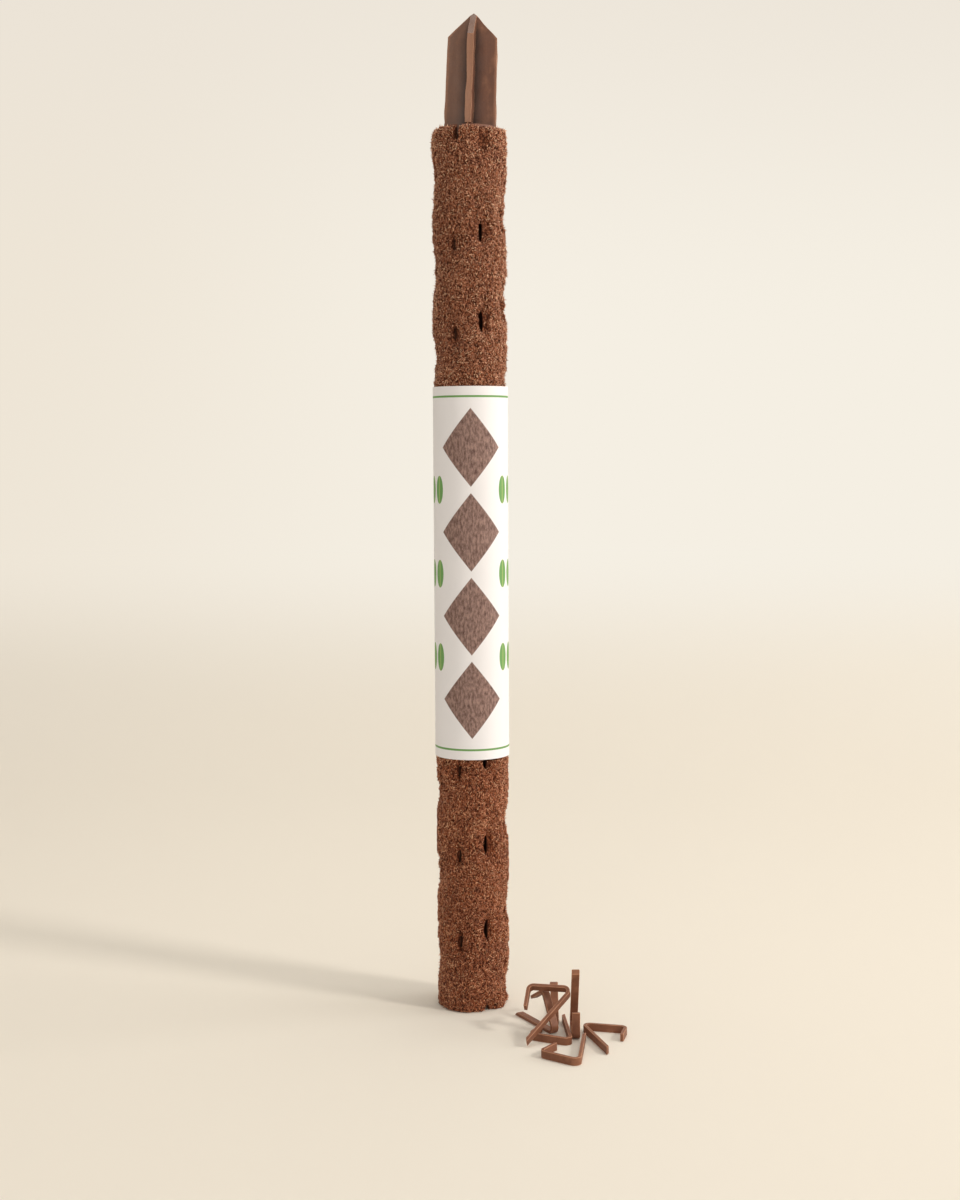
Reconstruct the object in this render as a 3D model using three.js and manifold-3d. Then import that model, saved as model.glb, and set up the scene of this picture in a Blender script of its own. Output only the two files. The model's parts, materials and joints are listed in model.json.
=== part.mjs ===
// Moss pole: a slotted core tube in a coir sleeve, a cross-finned ground spike,
// a paper band and six loose plant clips. Millimetres, +Z up. The origin is on the
// pole's axis where its open end stands on the floor; -Y is the front.

import * as THREE from "three";
import { mergeVertices } from "three/addons/utils/BufferGeometryUtils.js";
import Module from "manifold-3d";

// Clearances
const FIT_GAP = 0.3; // between pieces that touch on the real object
const SPIKE_PLAY = 1.25; // loose fit of the spike in the bore, each side
const BAND_PLAY = 0.35; // paper band round the coir
const CUT_OVER = 2; // how far a cutter stands past the faces that it cuts

// Core tube
const TUBE_BORE = 28.4;
const TUBE_WALL = 2.2;
const TUBE_PROUD = 1.5; // end of the tube above the coir at the spike end
const TUBE_SIDES = 48;

// Coir sleeve
const COIR_LENGTH = 530;
const COIR_THICKNESS = 5.2;
const COIR_END_ROUND = 4.2; // rolled edge at the spike end
const COIR_FOOT_ROUND = 1.2; // cut edge at the open end
const COIR_SIDES = 48;

// Slots, on a helix that climbs one pitch in a turn
const SLOT_PITCH = 52.3;
const SLOTS_PER_TURN = 7;
const SLOT_TWIST = -0.6; // degrees that a turn of slots falls short by
const SLOT_WIDTH = 3.6;
const SLOT_HEIGHT = 12.5;
const SLOT_FIRST_Z = -1.6; // the first slot is cut by the open end
const SLOT_FIRST_AZIMUTH = 28.6;
const SLOT_END_MARGIN = 8; // no slot centre this near the spike end
const NOTCH_WIDTH = 3.4; // open slot in the rim, instead of the last slot but one
const NOTCH_DEPTH = 8.6;
const NOTCH_SHIFT = 8; // azimuth of the notch from the slot that it replaces

// Dimples, where the coir is drawn in round each slot
const DIMPLE_DEPTH = 2.4;
const DIMPLE_WIDTH = 17;
const DIMPLE_HEIGHT = 33;
const DIMPLE_SIDES = 8;
const DIMPLE_RINGS = 4;

// Ground spike
const SPIKE_OUT = 68; // point above the end of the coir
const SPIKE_INSERT = 45; // length inside the bore
const SPIKE_SEAT = 1.3; // how far each fin stands over the rim of the tube
const SPIKE_SHOULDER_DRAW = 0.8; // taper of each fin from the rim to its shoulder
const SPIKE_FIN = 3.6;
const SPIKE_POINT_ANGLE = 45;
const SPIKE_TURN = -5; // front fin to the left of the front

// Paper band
const BAND_HEIGHT = 223;
const BAND_BOTTOM = 155.7;
const BAND_PAPER = 0.4;
const BAND_LAP = 16; // glued lap at the back, along the paper
const BAND_SIDES = 72;

// Plant clips, bent from a flat strip
const STRIP_WIDTH = 4.6;
const STRIP_THICKNESS = 2.0;
const CLIP_LONG = 45;
const CLIP_BASE = 26;
const CLIP_SHORT = 15;
const CLIP_TIP_ANGLE = 60; // between the long leg and the base
const CLIP_HOOK_ANGLE = 90; // between the base and the short leg
const CLIP_BEND = 3.0; // centre-line radius of a bend
const CLIP_BEND_STEPS = 7;
const CLIP_BEVEL = 2.2; // slanted cut of the long leg's end

// Where the clips lie: the corner of the third clip, and the others from its legs outwards
const HEAP_X = 55.8;
const HEAP_Y = -82.4;
const HEAP_TURN = 93;
const HEAP_GAP = 0.7;
const FRONT_TURN = 82.7; // first clip, its long leg beside the sixth
const FRONT_END_Y = -71.8;
const SIDE_TURN = -74.5; // second clip, its corner beside the sixth
const SIDE_Y = -54.1;
const SLANT_TURN = 118.3; // fourth clip, past the end of the third's short leg
const SLANT_AHEAD = 9.6; // its corner ahead of that end
const BACK_Y = -50; // corner of the fifth clip
const STAND_Y = -71; // front of the sixth clip's base

const wasm = await Module();
wasm.setup();
const rad = THREE.MathUtils.degToRad;

// Closed geometry to a solid that can be cut and joined
function toSolid(geometry) {
  const bare = geometry.clone();
  for (const name of Object.keys(bare.attributes)) {
    if (name !== "position") bare.deleteAttribute(name);
  }
  const welded = mergeVertices(bare, 1e-4);
  return new wasm.Manifold(
    new wasm.Mesh({
      numProp: 3,
      vertProperties: new Float32Array(welded.attributes.position.array),
      triVerts: new Uint32Array(welded.index.array),
    }),
  );
}

// Solid back to a geometry
function toGeometry(solid) {
  const mesh = solid.getMesh();
  const geometry = new THREE.BufferGeometry();
  geometry.setAttribute("position", new THREE.BufferAttribute(mesh.vertProperties, 3));
  geometry.setIndex(new THREE.BufferAttribute(mesh.triVerts, 1));
  geometry.computeVertexNormals();
  return geometry;
}

// Point at an azimuth counted from the front towards +X
function around(radius, azimuth, z) {
  const a = rad(azimuth);
  return new THREE.Vector3(radius * Math.sin(a), -radius * Math.cos(a), z);
}

// Turned section, revolved about Z
function revolve(section, sides) {
  const lathe = new THREE.LatheGeometry(section, sides);
  return lathe.rotateX(Math.PI / 2).rotateZ(Math.PI / sides);
}

const tubeOuter = TUBE_BORE / 2 + TUBE_WALL;
const coirInner = tubeOuter + FIT_GAP;
const coirOuter = coirInner + COIR_THICKNESS;
const tubeLength = COIR_LENGTH + TUBE_PROUD;

// Slot centres along the helix, from the open end to the spike end
function slotCentres() {
  const step = SLOT_PITCH / SLOTS_PER_TURN;
  const turn = (360 + SLOT_TWIST) / SLOTS_PER_TURN;
  const last = Math.floor((COIR_LENGTH - SLOT_END_MARGIN - SLOT_FIRST_Z) / step);
  return Array.from({ length: last + 1 }, (_, n) => {
    return { azimuth: SLOT_FIRST_AZIMUTH + n * turn, z: SLOT_FIRST_Z + n * step };
  });
}

// Box that cuts a slot through the tube and the coir
function slotTool(azimuth, z, width, height) {
  const depth = coirOuter - TUBE_BORE / 2 + 2 * CUT_OVER;
  const box = new THREE.BoxGeometry(width, depth, height);
  const place = around(TUBE_BORE / 2 - CUT_OVER + depth / 2, azimuth, z);
  return box.rotateZ(rad(azimuth)).translate(place.x, place.y, place.z);
}

// Flattened ball that draws the coir in round a slot
function dimpleTool(azimuth, z) {
  const ball = new THREE.SphereGeometry(1, DIMPLE_SIDES, DIMPLE_RINGS);
  ball.scale(DIMPLE_WIDTH / 2, DIMPLE_DEPTH, DIMPLE_HEIGHT / 2);
  const place = around(coirOuter, azimuth, z);
  return ball.rotateZ(rad(azimuth)).translate(place.x, place.y, place.z);
}

const slots = slotCentres();
const [replaced] = slots.splice(-2, 1);
const slotCuts = slots.map((s) => toSolid(slotTool(s.azimuth, s.z, SLOT_WIDTH, SLOT_HEIGHT)));
const notchHeight = NOTCH_DEPTH + TUBE_PROUD + CUT_OVER;
const notchMiddle = COIR_LENGTH - NOTCH_DEPTH + notchHeight / 2;
const notchAzimuth = replaced.azimuth + NOTCH_SHIFT;
slotCuts.push(toSolid(slotTool(notchAzimuth, notchMiddle, NOTCH_WIDTH, notchHeight)));
const dimples = slots.map((s) => toSolid(dimpleTool(s.azimuth, s.z)));

// Core tube: plain pipe with every slot cut through its wall
function coreTube() {
  const pipe = revolve(
    [
      new THREE.Vector2(TUBE_BORE / 2, 0),
      new THREE.Vector2(tubeOuter, 0),
      new THREE.Vector2(tubeOuter, tubeLength),
      new THREE.Vector2(TUBE_BORE / 2, tubeLength),
      new THREE.Vector2(TUBE_BORE / 2, 0),
    ],
    TUBE_SIDES,
  );
  return toGeometry(toSolid(pipe).subtract(wasm.Manifold.union(slotCuts)));
}

// Coir sleeve: rolled edge at the spike end, dimples and slots over its length
function coirSleeve() {
  const edge = new THREE.Path();
  edge.moveTo(coirInner, 0);
  edge.lineTo(coirOuter - COIR_FOOT_ROUND, 0);
  edge.lineTo(coirOuter, COIR_FOOT_ROUND);
  edge.lineTo(coirOuter, COIR_LENGTH - COIR_END_ROUND);
  edge.absarc(
    coirOuter - COIR_END_ROUND,
    COIR_LENGTH - COIR_END_ROUND,
    COIR_END_ROUND,
    0,
    Math.PI / 2,
    false,
  );
  edge.lineTo(coirInner, COIR_LENGTH);
  edge.lineTo(coirInner, 0);
  const sleeve = toSolid(revolve(edge.getPoints(3), COIR_SIDES));
  return toGeometry(sleeve.subtract(wasm.Manifold.union([...slotCuts, ...dimples])));
}

// One blade of the spike: narrow inside the bore, seated on the rim, pointed above
function spikeBlade() {
  const inner = TUBE_BORE / 2 - SPIKE_PLAY;
  const seat = TUBE_BORE / 2 + SPIKE_SEAT;
  const shoulder = seat - SPIKE_SHOULDER_DRAW;
  const tip = SPIKE_OUT - TUBE_PROUD - FIT_GAP;
  const rise = shoulder / Math.tan(rad(90 - SPIKE_POINT_ANGLE));
  const outline = new THREE.Shape([
    new THREE.Vector2(-inner, -SPIKE_INSERT),
    new THREE.Vector2(inner, -SPIKE_INSERT),
    new THREE.Vector2(inner, 0),
    new THREE.Vector2(seat, 0),
    new THREE.Vector2(shoulder, tip - rise),
    new THREE.Vector2(0, tip),
    new THREE.Vector2(-shoulder, tip - rise),
    new THREE.Vector2(-seat, 0),
    new THREE.Vector2(-inner, 0),
  ]);
  const blade = new THREE.ExtrudeGeometry(outline, { depth: SPIKE_FIN, bevelEnabled: false });
  return blade.translate(0, 0, -SPIKE_FIN / 2).rotateX(Math.PI / 2);
}

// Ground spike: two crossed blades, with the four slopes meeting in one point
function groundSpike() {
  const first = toSolid(spikeBlade());
  const second = toSolid(spikeBlade().rotateZ(Math.PI / 2));
  const tip = SPIKE_OUT - TUBE_PROUD - FIT_GAP;
  const tall = tip + SPIKE_INSERT + CUT_OVER;
  const reach = tall / Math.tan(rad(SPIKE_POINT_ANGLE));
  const pyramid = new THREE.ConeGeometry(reach * Math.SQRT2, tall, 4);
  pyramid.rotateX(Math.PI / 2).rotateZ(Math.PI / 4).translate(0, 0, tip - tall / 2);
  return toGeometry(first.add(second).intersect(toSolid(pyramid)));
}

// Points of an arc about the axis, with its share of the band's sides
function arcPoints(radius, from, to) {
  const steps = Math.max(2, Math.round((BAND_SIDES * Math.abs(to - from)) / (2 * Math.PI)));
  const turn = (k) => from + ((to - from) * k) / steps;
  return Array.from({ length: steps + 1 }, (_, k) => {
    return new THREE.Vector2(radius * Math.cos(turn(k)), radius * Math.sin(turn(k)));
  });
}

// Paper band: one turn of paper, twice as thick along the glued lap at the back
function paperBand() {
  const inner = coirOuter + BAND_PLAY;
  const outer = inner + BAND_PAPER;
  const lapHalf = BAND_LAP / outer / 2;
  const back = Math.PI / 2;
  const outline = new THREE.Shape([
    ...arcPoints(outer, back + lapHalf, back + 2 * Math.PI - lapHalf),
    ...arcPoints(outer + BAND_PAPER, back - lapHalf, back + lapHalf),
  ]);
  outline.holes.push(new THREE.Path(arcPoints(inner, 2 * Math.PI, 0).slice(1)));
  return new THREE.ExtrudeGeometry(outline, { depth: BAND_HEIGHT, bevelEnabled: false });
}

// Centre line of a clip, from the end of its long leg to the end of its short leg
function clipCentreLine() {
  const along = rad(CLIP_TIP_ANGLE);
  const back = rad(CLIP_TIP_ANGLE + CLIP_HOOK_ANGLE - 180);
  const corner = new THREE.Vector2(CLIP_BASE * Math.cos(along), CLIP_BASE * Math.sin(along));
  return [
    new THREE.Vector2(CLIP_LONG, 0),
    new THREE.Vector2(0, 0),
    corner,
    new THREE.Vector2(CLIP_SHORT * Math.cos(back), CLIP_SHORT * Math.sin(back)).add(corner),
  ];
}

// One side of the strip: the centre line moved sideways, with its corners rounded
function stripSide(line, side) {
  const offset = (side * STRIP_THICKNESS) / 2;
  const points = [];
  line.forEach((point, i) => {
    const before = line[i - 1] ?? point;
    const after = line[i + 1] ?? point;
    const arrive = point.clone().sub(before).normalize();
    const leave = after.clone().sub(point).normalize();
    if (i === 0 || i === line.length - 1) {
      const along = i === 0 ? leave : arrive;
      const slant = i === 0 && side < 0 ? CLIP_BEVEL : 0;
      const end = point.clone().addScaledVector(along, slant);
      points.push(end.add(new THREE.Vector2(-along.y, along.x).multiplyScalar(offset)));
      return;
    }
    const turn = Math.atan2(arrive.cross(leave), arrive.dot(leave));
    const reach = CLIP_BEND * Math.tan(Math.abs(turn) / 2);
    const hand = Math.sign(turn);
    const start = point.clone().addScaledVector(arrive, -reach);
    const inward = new THREE.Vector2(-arrive.y, arrive.x).multiplyScalar(hand);
    const centre = start.clone().addScaledVector(inward, CLIP_BEND);
    const radius = CLIP_BEND - hand * offset;
    for (let k = 0; k <= CLIP_BEND_STEPS; k += 1) {
      const swing = (turn * k) / CLIP_BEND_STEPS;
      const spoke = inward.clone().multiplyScalar(-radius);
      points.push(spoke.rotateAround(new THREE.Vector2(), swing).add(centre));
    }
  });
  return points;
}

// Bent strip in the XY plane, its width along Z
function clipGeometry() {
  const line = clipCentreLine();
  const outline = new THREE.Shape([
    ...stripSide(line, 1),
    ...stripSide(line, -1).reverse(),
  ]);
  return new THREE.ExtrudeGeometry(outline, { depth: STRIP_WIDTH, bevelEnabled: false });
}

function finish(colour, roughness) {
  return new THREE.MeshStandardMaterial({ color: colour, roughness, metalness: 0 });
}

function piece(name, geometry, material) {
  const mesh = new THREE.Mesh(geometry, material);
  mesh.name = name;
  return mesh;
}

// Clip lying flat, the strip on its edge
function flatClip(name, x, y, turn) {
  const mesh = piece(name, clipGeometry(), finish(0x7d4e3a, 0.6));
  mesh.rotation.z = rad(turn);
  mesh.position.set(x, y, 0);
  return mesh;
}

// Clip standing in an upright plane, on its long leg or on its base
function standingClip(name, x, y, turn, onBase) {
  const upright = clipGeometry().translate(0, 0, -STRIP_WIDTH / 2);
  if (onBase) upright.rotateX(Math.PI).rotateZ(rad(CLIP_TIP_ANGLE));
  upright.rotateX(Math.PI / 2).translate(0, 0, STRIP_THICKNESS / 2);
  const mesh = piece(name, upright, finish(0x7d4e3a, 0.6));
  mesh.rotation.z = rad(turn);
  mesh.position.set(x, y, 0);
  return mesh;
}

const pole = new THREE.Group();
pole.name = "moss_pole";

pole.add(piece("core_tube", coreTube(), finish(0x5f3d30, 0.65)));
pole.add(piece("coir_sleeve", coirSleeve(), finish(0x7c4a32, 0.95)));

// The spike leans about the middle of its length in the bore as far as its play lets it,
// towards +X, with its low shoulder on the rim
const spike = piece("ground_spike", groundSpike(), finish(0x6c4637, 0.55));
const finReach = Math.hypot(TUBE_BORE / 2 - SPIKE_PLAY, SPIKE_FIN / 2);
const lean = Math.atan((TUBE_BORE / 2 - finReach - FIT_GAP) / (SPIKE_INSERT / 2));
spike.geometry.translate(0, 0, SPIKE_INSERT / 2);
spike.rotation.set(0, lean, 0);
const seatDrop = (TUBE_BORE / 2 + SPIKE_SEAT) * Math.sin(lean);
const seatLoss = (SPIKE_INSERT / 2) * (1 - Math.cos(lean));
const spikeMiddle = tubeLength + FIT_GAP - SPIKE_INSERT / 2 + seatDrop + seatLoss;
spike.geometry.rotateZ(rad(SPIKE_TURN));
spike.position.set(0, 0, spikeMiddle);
pole.add(spike);

const band = piece("paper_band", paperBand(), finish(0xf3f1ee, 0.7));
band.position.z = BAND_BOTTOM;
pole.add(band);

// Clip 3 lies flat in the middle; the others take their places from its long and short legs
const legSlope = 1 / Math.tan(rad(HEAP_TURN));
const legAt = (y) => HEAP_X + (y - HEAP_Y) * legSlope;
const half = STRIP_WIDTH / 2;
const thick = STRIP_THICKNESS / 2;
const shortTip = clipCentreLine()[3].rotateAround(new THREE.Vector2(), rad(HEAP_TURN));
shortTip.add(new THREE.Vector2(HEAP_X, HEAP_Y));
const standX = legAt(STAND_Y) + thick + HEAP_GAP + half;
const besideX = standX + half + thick + 2 * HEAP_GAP;
const frontX = besideX - CLIP_LONG * Math.cos(rad(FRONT_TURN));
const frontY = FRONT_END_Y - CLIP_LONG * Math.sin(rad(FRONT_TURN));
const along = new THREE.Vector2(1, 0).rotateAround(new THREE.Vector2(), rad(SLANT_TURN));
const aside = half + thick + 2 * HEAP_GAP;
const slantX = shortTip.x - along.x * SLANT_AHEAD + along.y * aside;
const slantY = shortTip.y - along.y * SLANT_AHEAD - along.x * aside;
const backX = legAt(BACK_Y) - thick - half - 4 * HEAP_GAP;
pole.add(flatClip("clip_1", frontX, frontY, FRONT_TURN));
pole.add(flatClip("clip_2", besideX, SIDE_Y, SIDE_TURN));
pole.add(flatClip("clip_3", HEAP_X, HEAP_Y, HEAP_TURN));
pole.add(standingClip("clip_4", slantX, slantY, SLANT_TURN, false));
pole.add(standingClip("clip_5", backX, BACK_Y, 90, false));
pole.add(standingClip("clip_6", standX, STAND_Y + CLIP_BASE, -90, true));

export default pole;
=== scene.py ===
"""Moss pole in a studio: coir sleeve, slotted tube, ground spike, paper band and plant clips.

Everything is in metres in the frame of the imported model: +Z up, -Y to the front, and the origin on the
pole's axis where its open end stands on the floor. Azimuths run from the front towards +X.
"""

import json
import logging
import math
from dataclasses import dataclass, field
from enum import Enum
from typing import Any, Optional, Union

import bmesh
import bpy
import numpy as np
from mathutils import Matrix, Vector, noise


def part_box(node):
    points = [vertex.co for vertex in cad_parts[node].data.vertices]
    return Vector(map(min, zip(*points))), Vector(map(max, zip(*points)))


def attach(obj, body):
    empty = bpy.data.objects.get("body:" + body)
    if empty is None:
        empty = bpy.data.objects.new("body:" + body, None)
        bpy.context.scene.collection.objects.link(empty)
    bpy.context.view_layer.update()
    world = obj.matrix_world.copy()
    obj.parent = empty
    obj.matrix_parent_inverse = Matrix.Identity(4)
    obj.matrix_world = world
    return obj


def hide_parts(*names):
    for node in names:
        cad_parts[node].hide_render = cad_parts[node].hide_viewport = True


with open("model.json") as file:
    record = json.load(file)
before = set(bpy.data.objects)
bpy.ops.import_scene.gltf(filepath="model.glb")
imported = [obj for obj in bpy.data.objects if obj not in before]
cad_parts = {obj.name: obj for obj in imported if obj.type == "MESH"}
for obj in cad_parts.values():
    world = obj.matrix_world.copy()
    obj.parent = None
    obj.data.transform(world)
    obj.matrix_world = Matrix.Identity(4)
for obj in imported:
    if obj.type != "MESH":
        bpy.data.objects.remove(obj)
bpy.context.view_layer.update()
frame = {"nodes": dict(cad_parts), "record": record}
MM = 0.001
BAKE_MAP = "OFBake"
NOISE_SEED = 7
LOG = logging.getLogger("moss_pole")

Triple = tuple[float, float, float]
Colour = Triple
Span = tuple[float, float]

# Painted warm bounce light from the floor on the coir near the open end, fading out under the paper band
PAINTED_BOUNCE_TINT: Colour = (1.0, 0.89, 0.8)
PAINTED_BOUNCE_SPAN: Span = (170 * MM, 360 * MM)


class Body(Enum):
    """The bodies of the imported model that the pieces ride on."""

    POLE = "pole"
    SPIKE = "spike"
    BAND = "band"


class Slot(Enum):
    """The record's material slots."""

    TUBE = "tube_plastic"
    COIR = "coir"
    SPIKE = "spike_plastic"
    BAND = "band_paper"
    CLIP = "clip_plastic"


class Domain(Enum):
    """Where a mesh attribute is stored."""

    POINT = "POINT"
    FACE = "FACE"


def seen(red: int, green: int, blue: int) -> Colour:
    """A colour as a screen shows it, turned to the linear values that shaders take.

    Args:
        red, green, blue: Screen values from 0 to 255.

    Returns:
        The linear colour.
    """
    shares = (red / 255, green / 255, blue / 255)
    return tuple(s / 12.92 if s <= 0.04045 else ((s + 0.055) / 1.055) ** 2.4 for s in shares)


def ease(low: float, high: float, at: np.ndarray) -> np.ndarray:
    """A smooth step from 0 at low to 1 at high."""
    share = np.clip((at - low) / (high - low), 0, 1)
    return share * share * (3 - 2 * share)


def around(radius: Any, azimuth: Any, height: Any) -> np.ndarray:
    """Points about the pole's axis.

    Args:
        radius: Distance from the axis.
        azimuth: Radians from the front towards +X.
        height: Height above the floor.

    Returns:
        An array with a last axis of three coordinates.
    """
    radius, azimuth, height = np.broadcast_arrays(radius, azimuth, height)
    return np.stack([radius * np.sin(azimuth), -radius * np.cos(azimuth), height], axis=-1)


def wrapped(angle: np.ndarray) -> np.ndarray:
    """Angles brought to the half turn on either side of zero."""
    return (angle + math.pi) % (2 * math.pi) - math.pi


def unevenness(points: np.ndarray, wavelength: float, shift: float = 0.0) -> np.ndarray:
    """Smooth noise from about -1 to 1 at each point.

    Args:
        points: Points as rows.
        wavelength: Size of one bump in metres.
        shift: Offset that picks another pattern.

    Returns:
        One value for each point.
    """
    offset = Vector((shift, -shift, 2 * shift))
    return np.array([noise.noise(Vector(p) / wavelength + offset) for p in points])


class Link:
    """An output socket that takes part in Python expressions."""

    def __init__(self, book: "NodeBook", socket: bpy.types.NodeSocket) -> None:
        """Keeps the socket with the tree that it belongs to."""
        self.book = book
        self.socket = socket

    def maths(self, operation: str, *others: "Number", first: Optional["Number"] = None) -> "Link":
        """Adds a Math node.

        Args:
            operation: Name of the operation.
            others: Second and third values.
            first: The first value, where it isn't this link.

        Returns:
            The node's result.
        """
        values = [self if first is None else first, *others]
        names = ("Value", "Value_001", "Value_002")
        return self.book.add("ShaderNodeMath", {"operation": operation}, dict(zip(names, values)))

    def __add__(self, other: "Number") -> "Link":
        """This plus another value."""
        return self.maths("ADD", other)

    __radd__ = __add__

    def __sub__(self, other: "Number") -> "Link":
        """This less another value."""
        return self.maths("SUBTRACT", other)

    def __rsub__(self, other: "Number") -> "Link":
        """Another value less this."""
        return self.maths("SUBTRACT", self, first=other)

    def __mul__(self, other: "Number") -> "Link":
        """This times another value."""
        return self.maths("MULTIPLY", other)

    __rmul__ = __mul__

    def __truediv__(self, other: "Number") -> "Link":
        """This divided by another value."""
        return self.maths("DIVIDE", other)

    def __pow__(self, other: "Number") -> "Link":
        """This raised to a power."""
        return self.maths("POWER", other)

    def __abs__(self) -> "Link":
        """This without its sign."""
        return self.maths("ABSOLUTE")

    def least(self, other: "Number") -> "Link":
        """The lower of two values."""
        return self.maths("MINIMUM", other)

    def most(self, other: "Number") -> "Link":
        """The higher of two values."""
        return self.maths("MAXIMUM", other)

    def wrapped(self, period: float) -> "Link":
        """The distance to the middle of the nearest of the stretches that are one period long."""
        return self.maths("PINGPONG", period / 2)

    def ramp(self, low: float, high: float) -> "Link":
        """A smooth step from 0 at low to 1 at high."""
        inputs = {"Value": self, "From Min": low, "From Max": high}
        return self.book.add("ShaderNodeMapRange", {"interpolation_type": "SMOOTHSTEP"}, inputs)

    def part(self, axis: str) -> "Link":
        """One coordinate of a vector."""
        return self.book.add("ShaderNodeSeparateXYZ", {}, {"Vector": self}, axis)


Number = Union[Link, float]


class NodeBook:
    """A node tree that is written as Python expressions."""

    def __init__(self, tree: bpy.types.NodeTree) -> None:
        """Starts on an empty tree."""
        self.tree = tree
        tree.nodes.clear()

    def add(
        self,
        kind: str,
        settings: Optional[dict[str, Any]] = None,
        inputs: Optional[dict[str, Any]] = None,
        output: Optional[str] = None,
    ) -> Optional[Link]:
        """Adds one node.

        Args:
            kind: Blender's name of the node's type.
            settings: The node's own settings, set first. "stops" fills a colour ramp.
            inputs: Values or links by the socket's identifier.
            output: Identifier of the output wanted, or the first one that is in use.

        Returns:
            The output, or None for a node that has none.
        """
        node = self.tree.nodes.new(kind)
        for name, value in (settings or {}).items():
            if name == "stops":
                self._fill_ramp(node.color_ramp, value)
            else:
                setattr(node, name, value)
        for key, value in (inputs or {}).items():
            socket = next(s for s in node.inputs if s.identifier == key)
            if isinstance(value, Link):
                self.tree.links.new(value.socket, socket)
            else:
                socket.default_value = value
        found = [s for s in node.outputs if s.enabled and output in (None, s.identifier)]
        return Link(self, found[0]) if found else None

    @staticmethod
    def _fill_ramp(ramp: bpy.types.ColorRamp, stops: list[tuple[float, Colour]]) -> None:
        """Gives a colour ramp its stops.

        Args:
            ramp: The new ramp.
            stops: Places from 0 to 1 with their colours.
        """
        while len(ramp.elements) < len(stops):
            ramp.elements.new(1.0)
        for element, (place, colour) in zip(ramp.elements, stops):
            element.position = place
            element.color = (*colour, 1.0)

    def place(self) -> Link:
        """The point on the piece, in metres."""
        return self.add("ShaderNodeTexCoord", {}, {}, "Object")

    def mark(self, name: str) -> Link:
        """A number that the piece carries as an attribute."""
        return self.add("ShaderNodeAttribute", {"attribute_name": name}, {}, "Fac")

    def stretched(self, vector: Link, scale: Triple) -> Link:
        """A vector with its coordinates scaled."""
        return self.add("ShaderNodeMapping", {}, {"Vector": vector, "Scale": scale})

    def grain(self, vector: Link, size: float, detail: float = 2.0, rough: float = 0.5) -> Link:
        """Noise from 0 to 1.

        Args:
            vector: Where it is read.
            size: Size of one grain in the vector's units.
            detail: Number of finer layers.
            rough: Weight of the finer layers.

        Returns:
            The noise value.
        """
        inputs = {"Vector": vector, "Scale": 1 / size, "Detail": detail, "Roughness": rough}
        return self.add("ShaderNodeTexNoise", {}, inputs, "Fac")

    def mix(self, share: Number, first: Any, second: Any, way: str = "MIX") -> Link:
        """A mix of two colours.

        Args:
            share: Weight of the second colour.
            first, second: Colours or links.
            way: How the second colour acts on the first.

        Returns:
            The mixed colour.
        """
        first, second = (c if isinstance(c, Link) else (*c, 1.0) for c in (first, second))
        settings = {"data_type": "RGBA", "blend_type": way}
        inputs = {"Factor_Float": share, "A_Color": first, "B_Color": second}
        return self.add("ShaderNodeMix", settings, inputs, "Result_Color")

    def shade(self, value: Number, stops: list[tuple[float, Colour]]) -> Link:
        """A colour ramp."""
        return self.add("ShaderNodeValToRGB", {"stops": stops}, {"Fac": value}, "Color")

    def bump(self, height: Link, depth: float, strength: float = 1.0) -> Link:
        """A normal that follows a height.

        Args:
            height: Height from 0 to 1.
            depth: Metres that a height of 1 stands for.
            strength: Share of the effect that is kept.

        Returns:
            The normal.
        """
        return self.add("ShaderNodeBump", {}, {"Height": height, "Distance": depth, "Strength": strength})

    def looked_at(self) -> Link:
        """Tells a look at a surface from the light that it gives.

        Returns:
            1 for the camera, a reflection or a view through a clear body, and 0 for light.
        """
        path = self.add("ShaderNodeLightPath", {}, {}, "Is Camera Ray")
        outputs = path.socket.node.outputs
        others = [Link(self, outputs[name]) for name in ("Is Glossy Ray", "Is Transmission Ray")]
        return (path + others[0] + others[1]).least(1.0)

    def surface(self, **sockets: Any) -> None:
        """Ends a material in one Principled shader.

        Args:
            sockets: Values or links, with the shader's socket names in lower case and underscores.
        """
        node = self.tree.nodes.new("ShaderNodeBsdfPrincipled")
        by_word = {s.identifier.lower().replace(" ", "_"): s for s in node.inputs}
        for word, value in sockets.items():
            if isinstance(value, Link):
                self.tree.links.new(value.socket, by_word[word])
            elif by_word[word].type == "RGBA":
                by_word[word].default_value = (*value, 1.0)
            else:
                by_word[word].default_value = value
        shader = Link(self, node.outputs["BSDF"])
        self.add("ShaderNodeOutputMaterial", {}, {"Surface": shader})


def new_material(name: str) -> tuple[bpy.types.Material, NodeBook]:
    """An empty material and its tree.

    Args:
        name: The material's name.

    Returns:
        The material, and the book that writes its nodes.
    """
    material = bpy.data.materials.new(name)
    material.use_nodes = True
    return material, NodeBook(material.node_tree)


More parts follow.
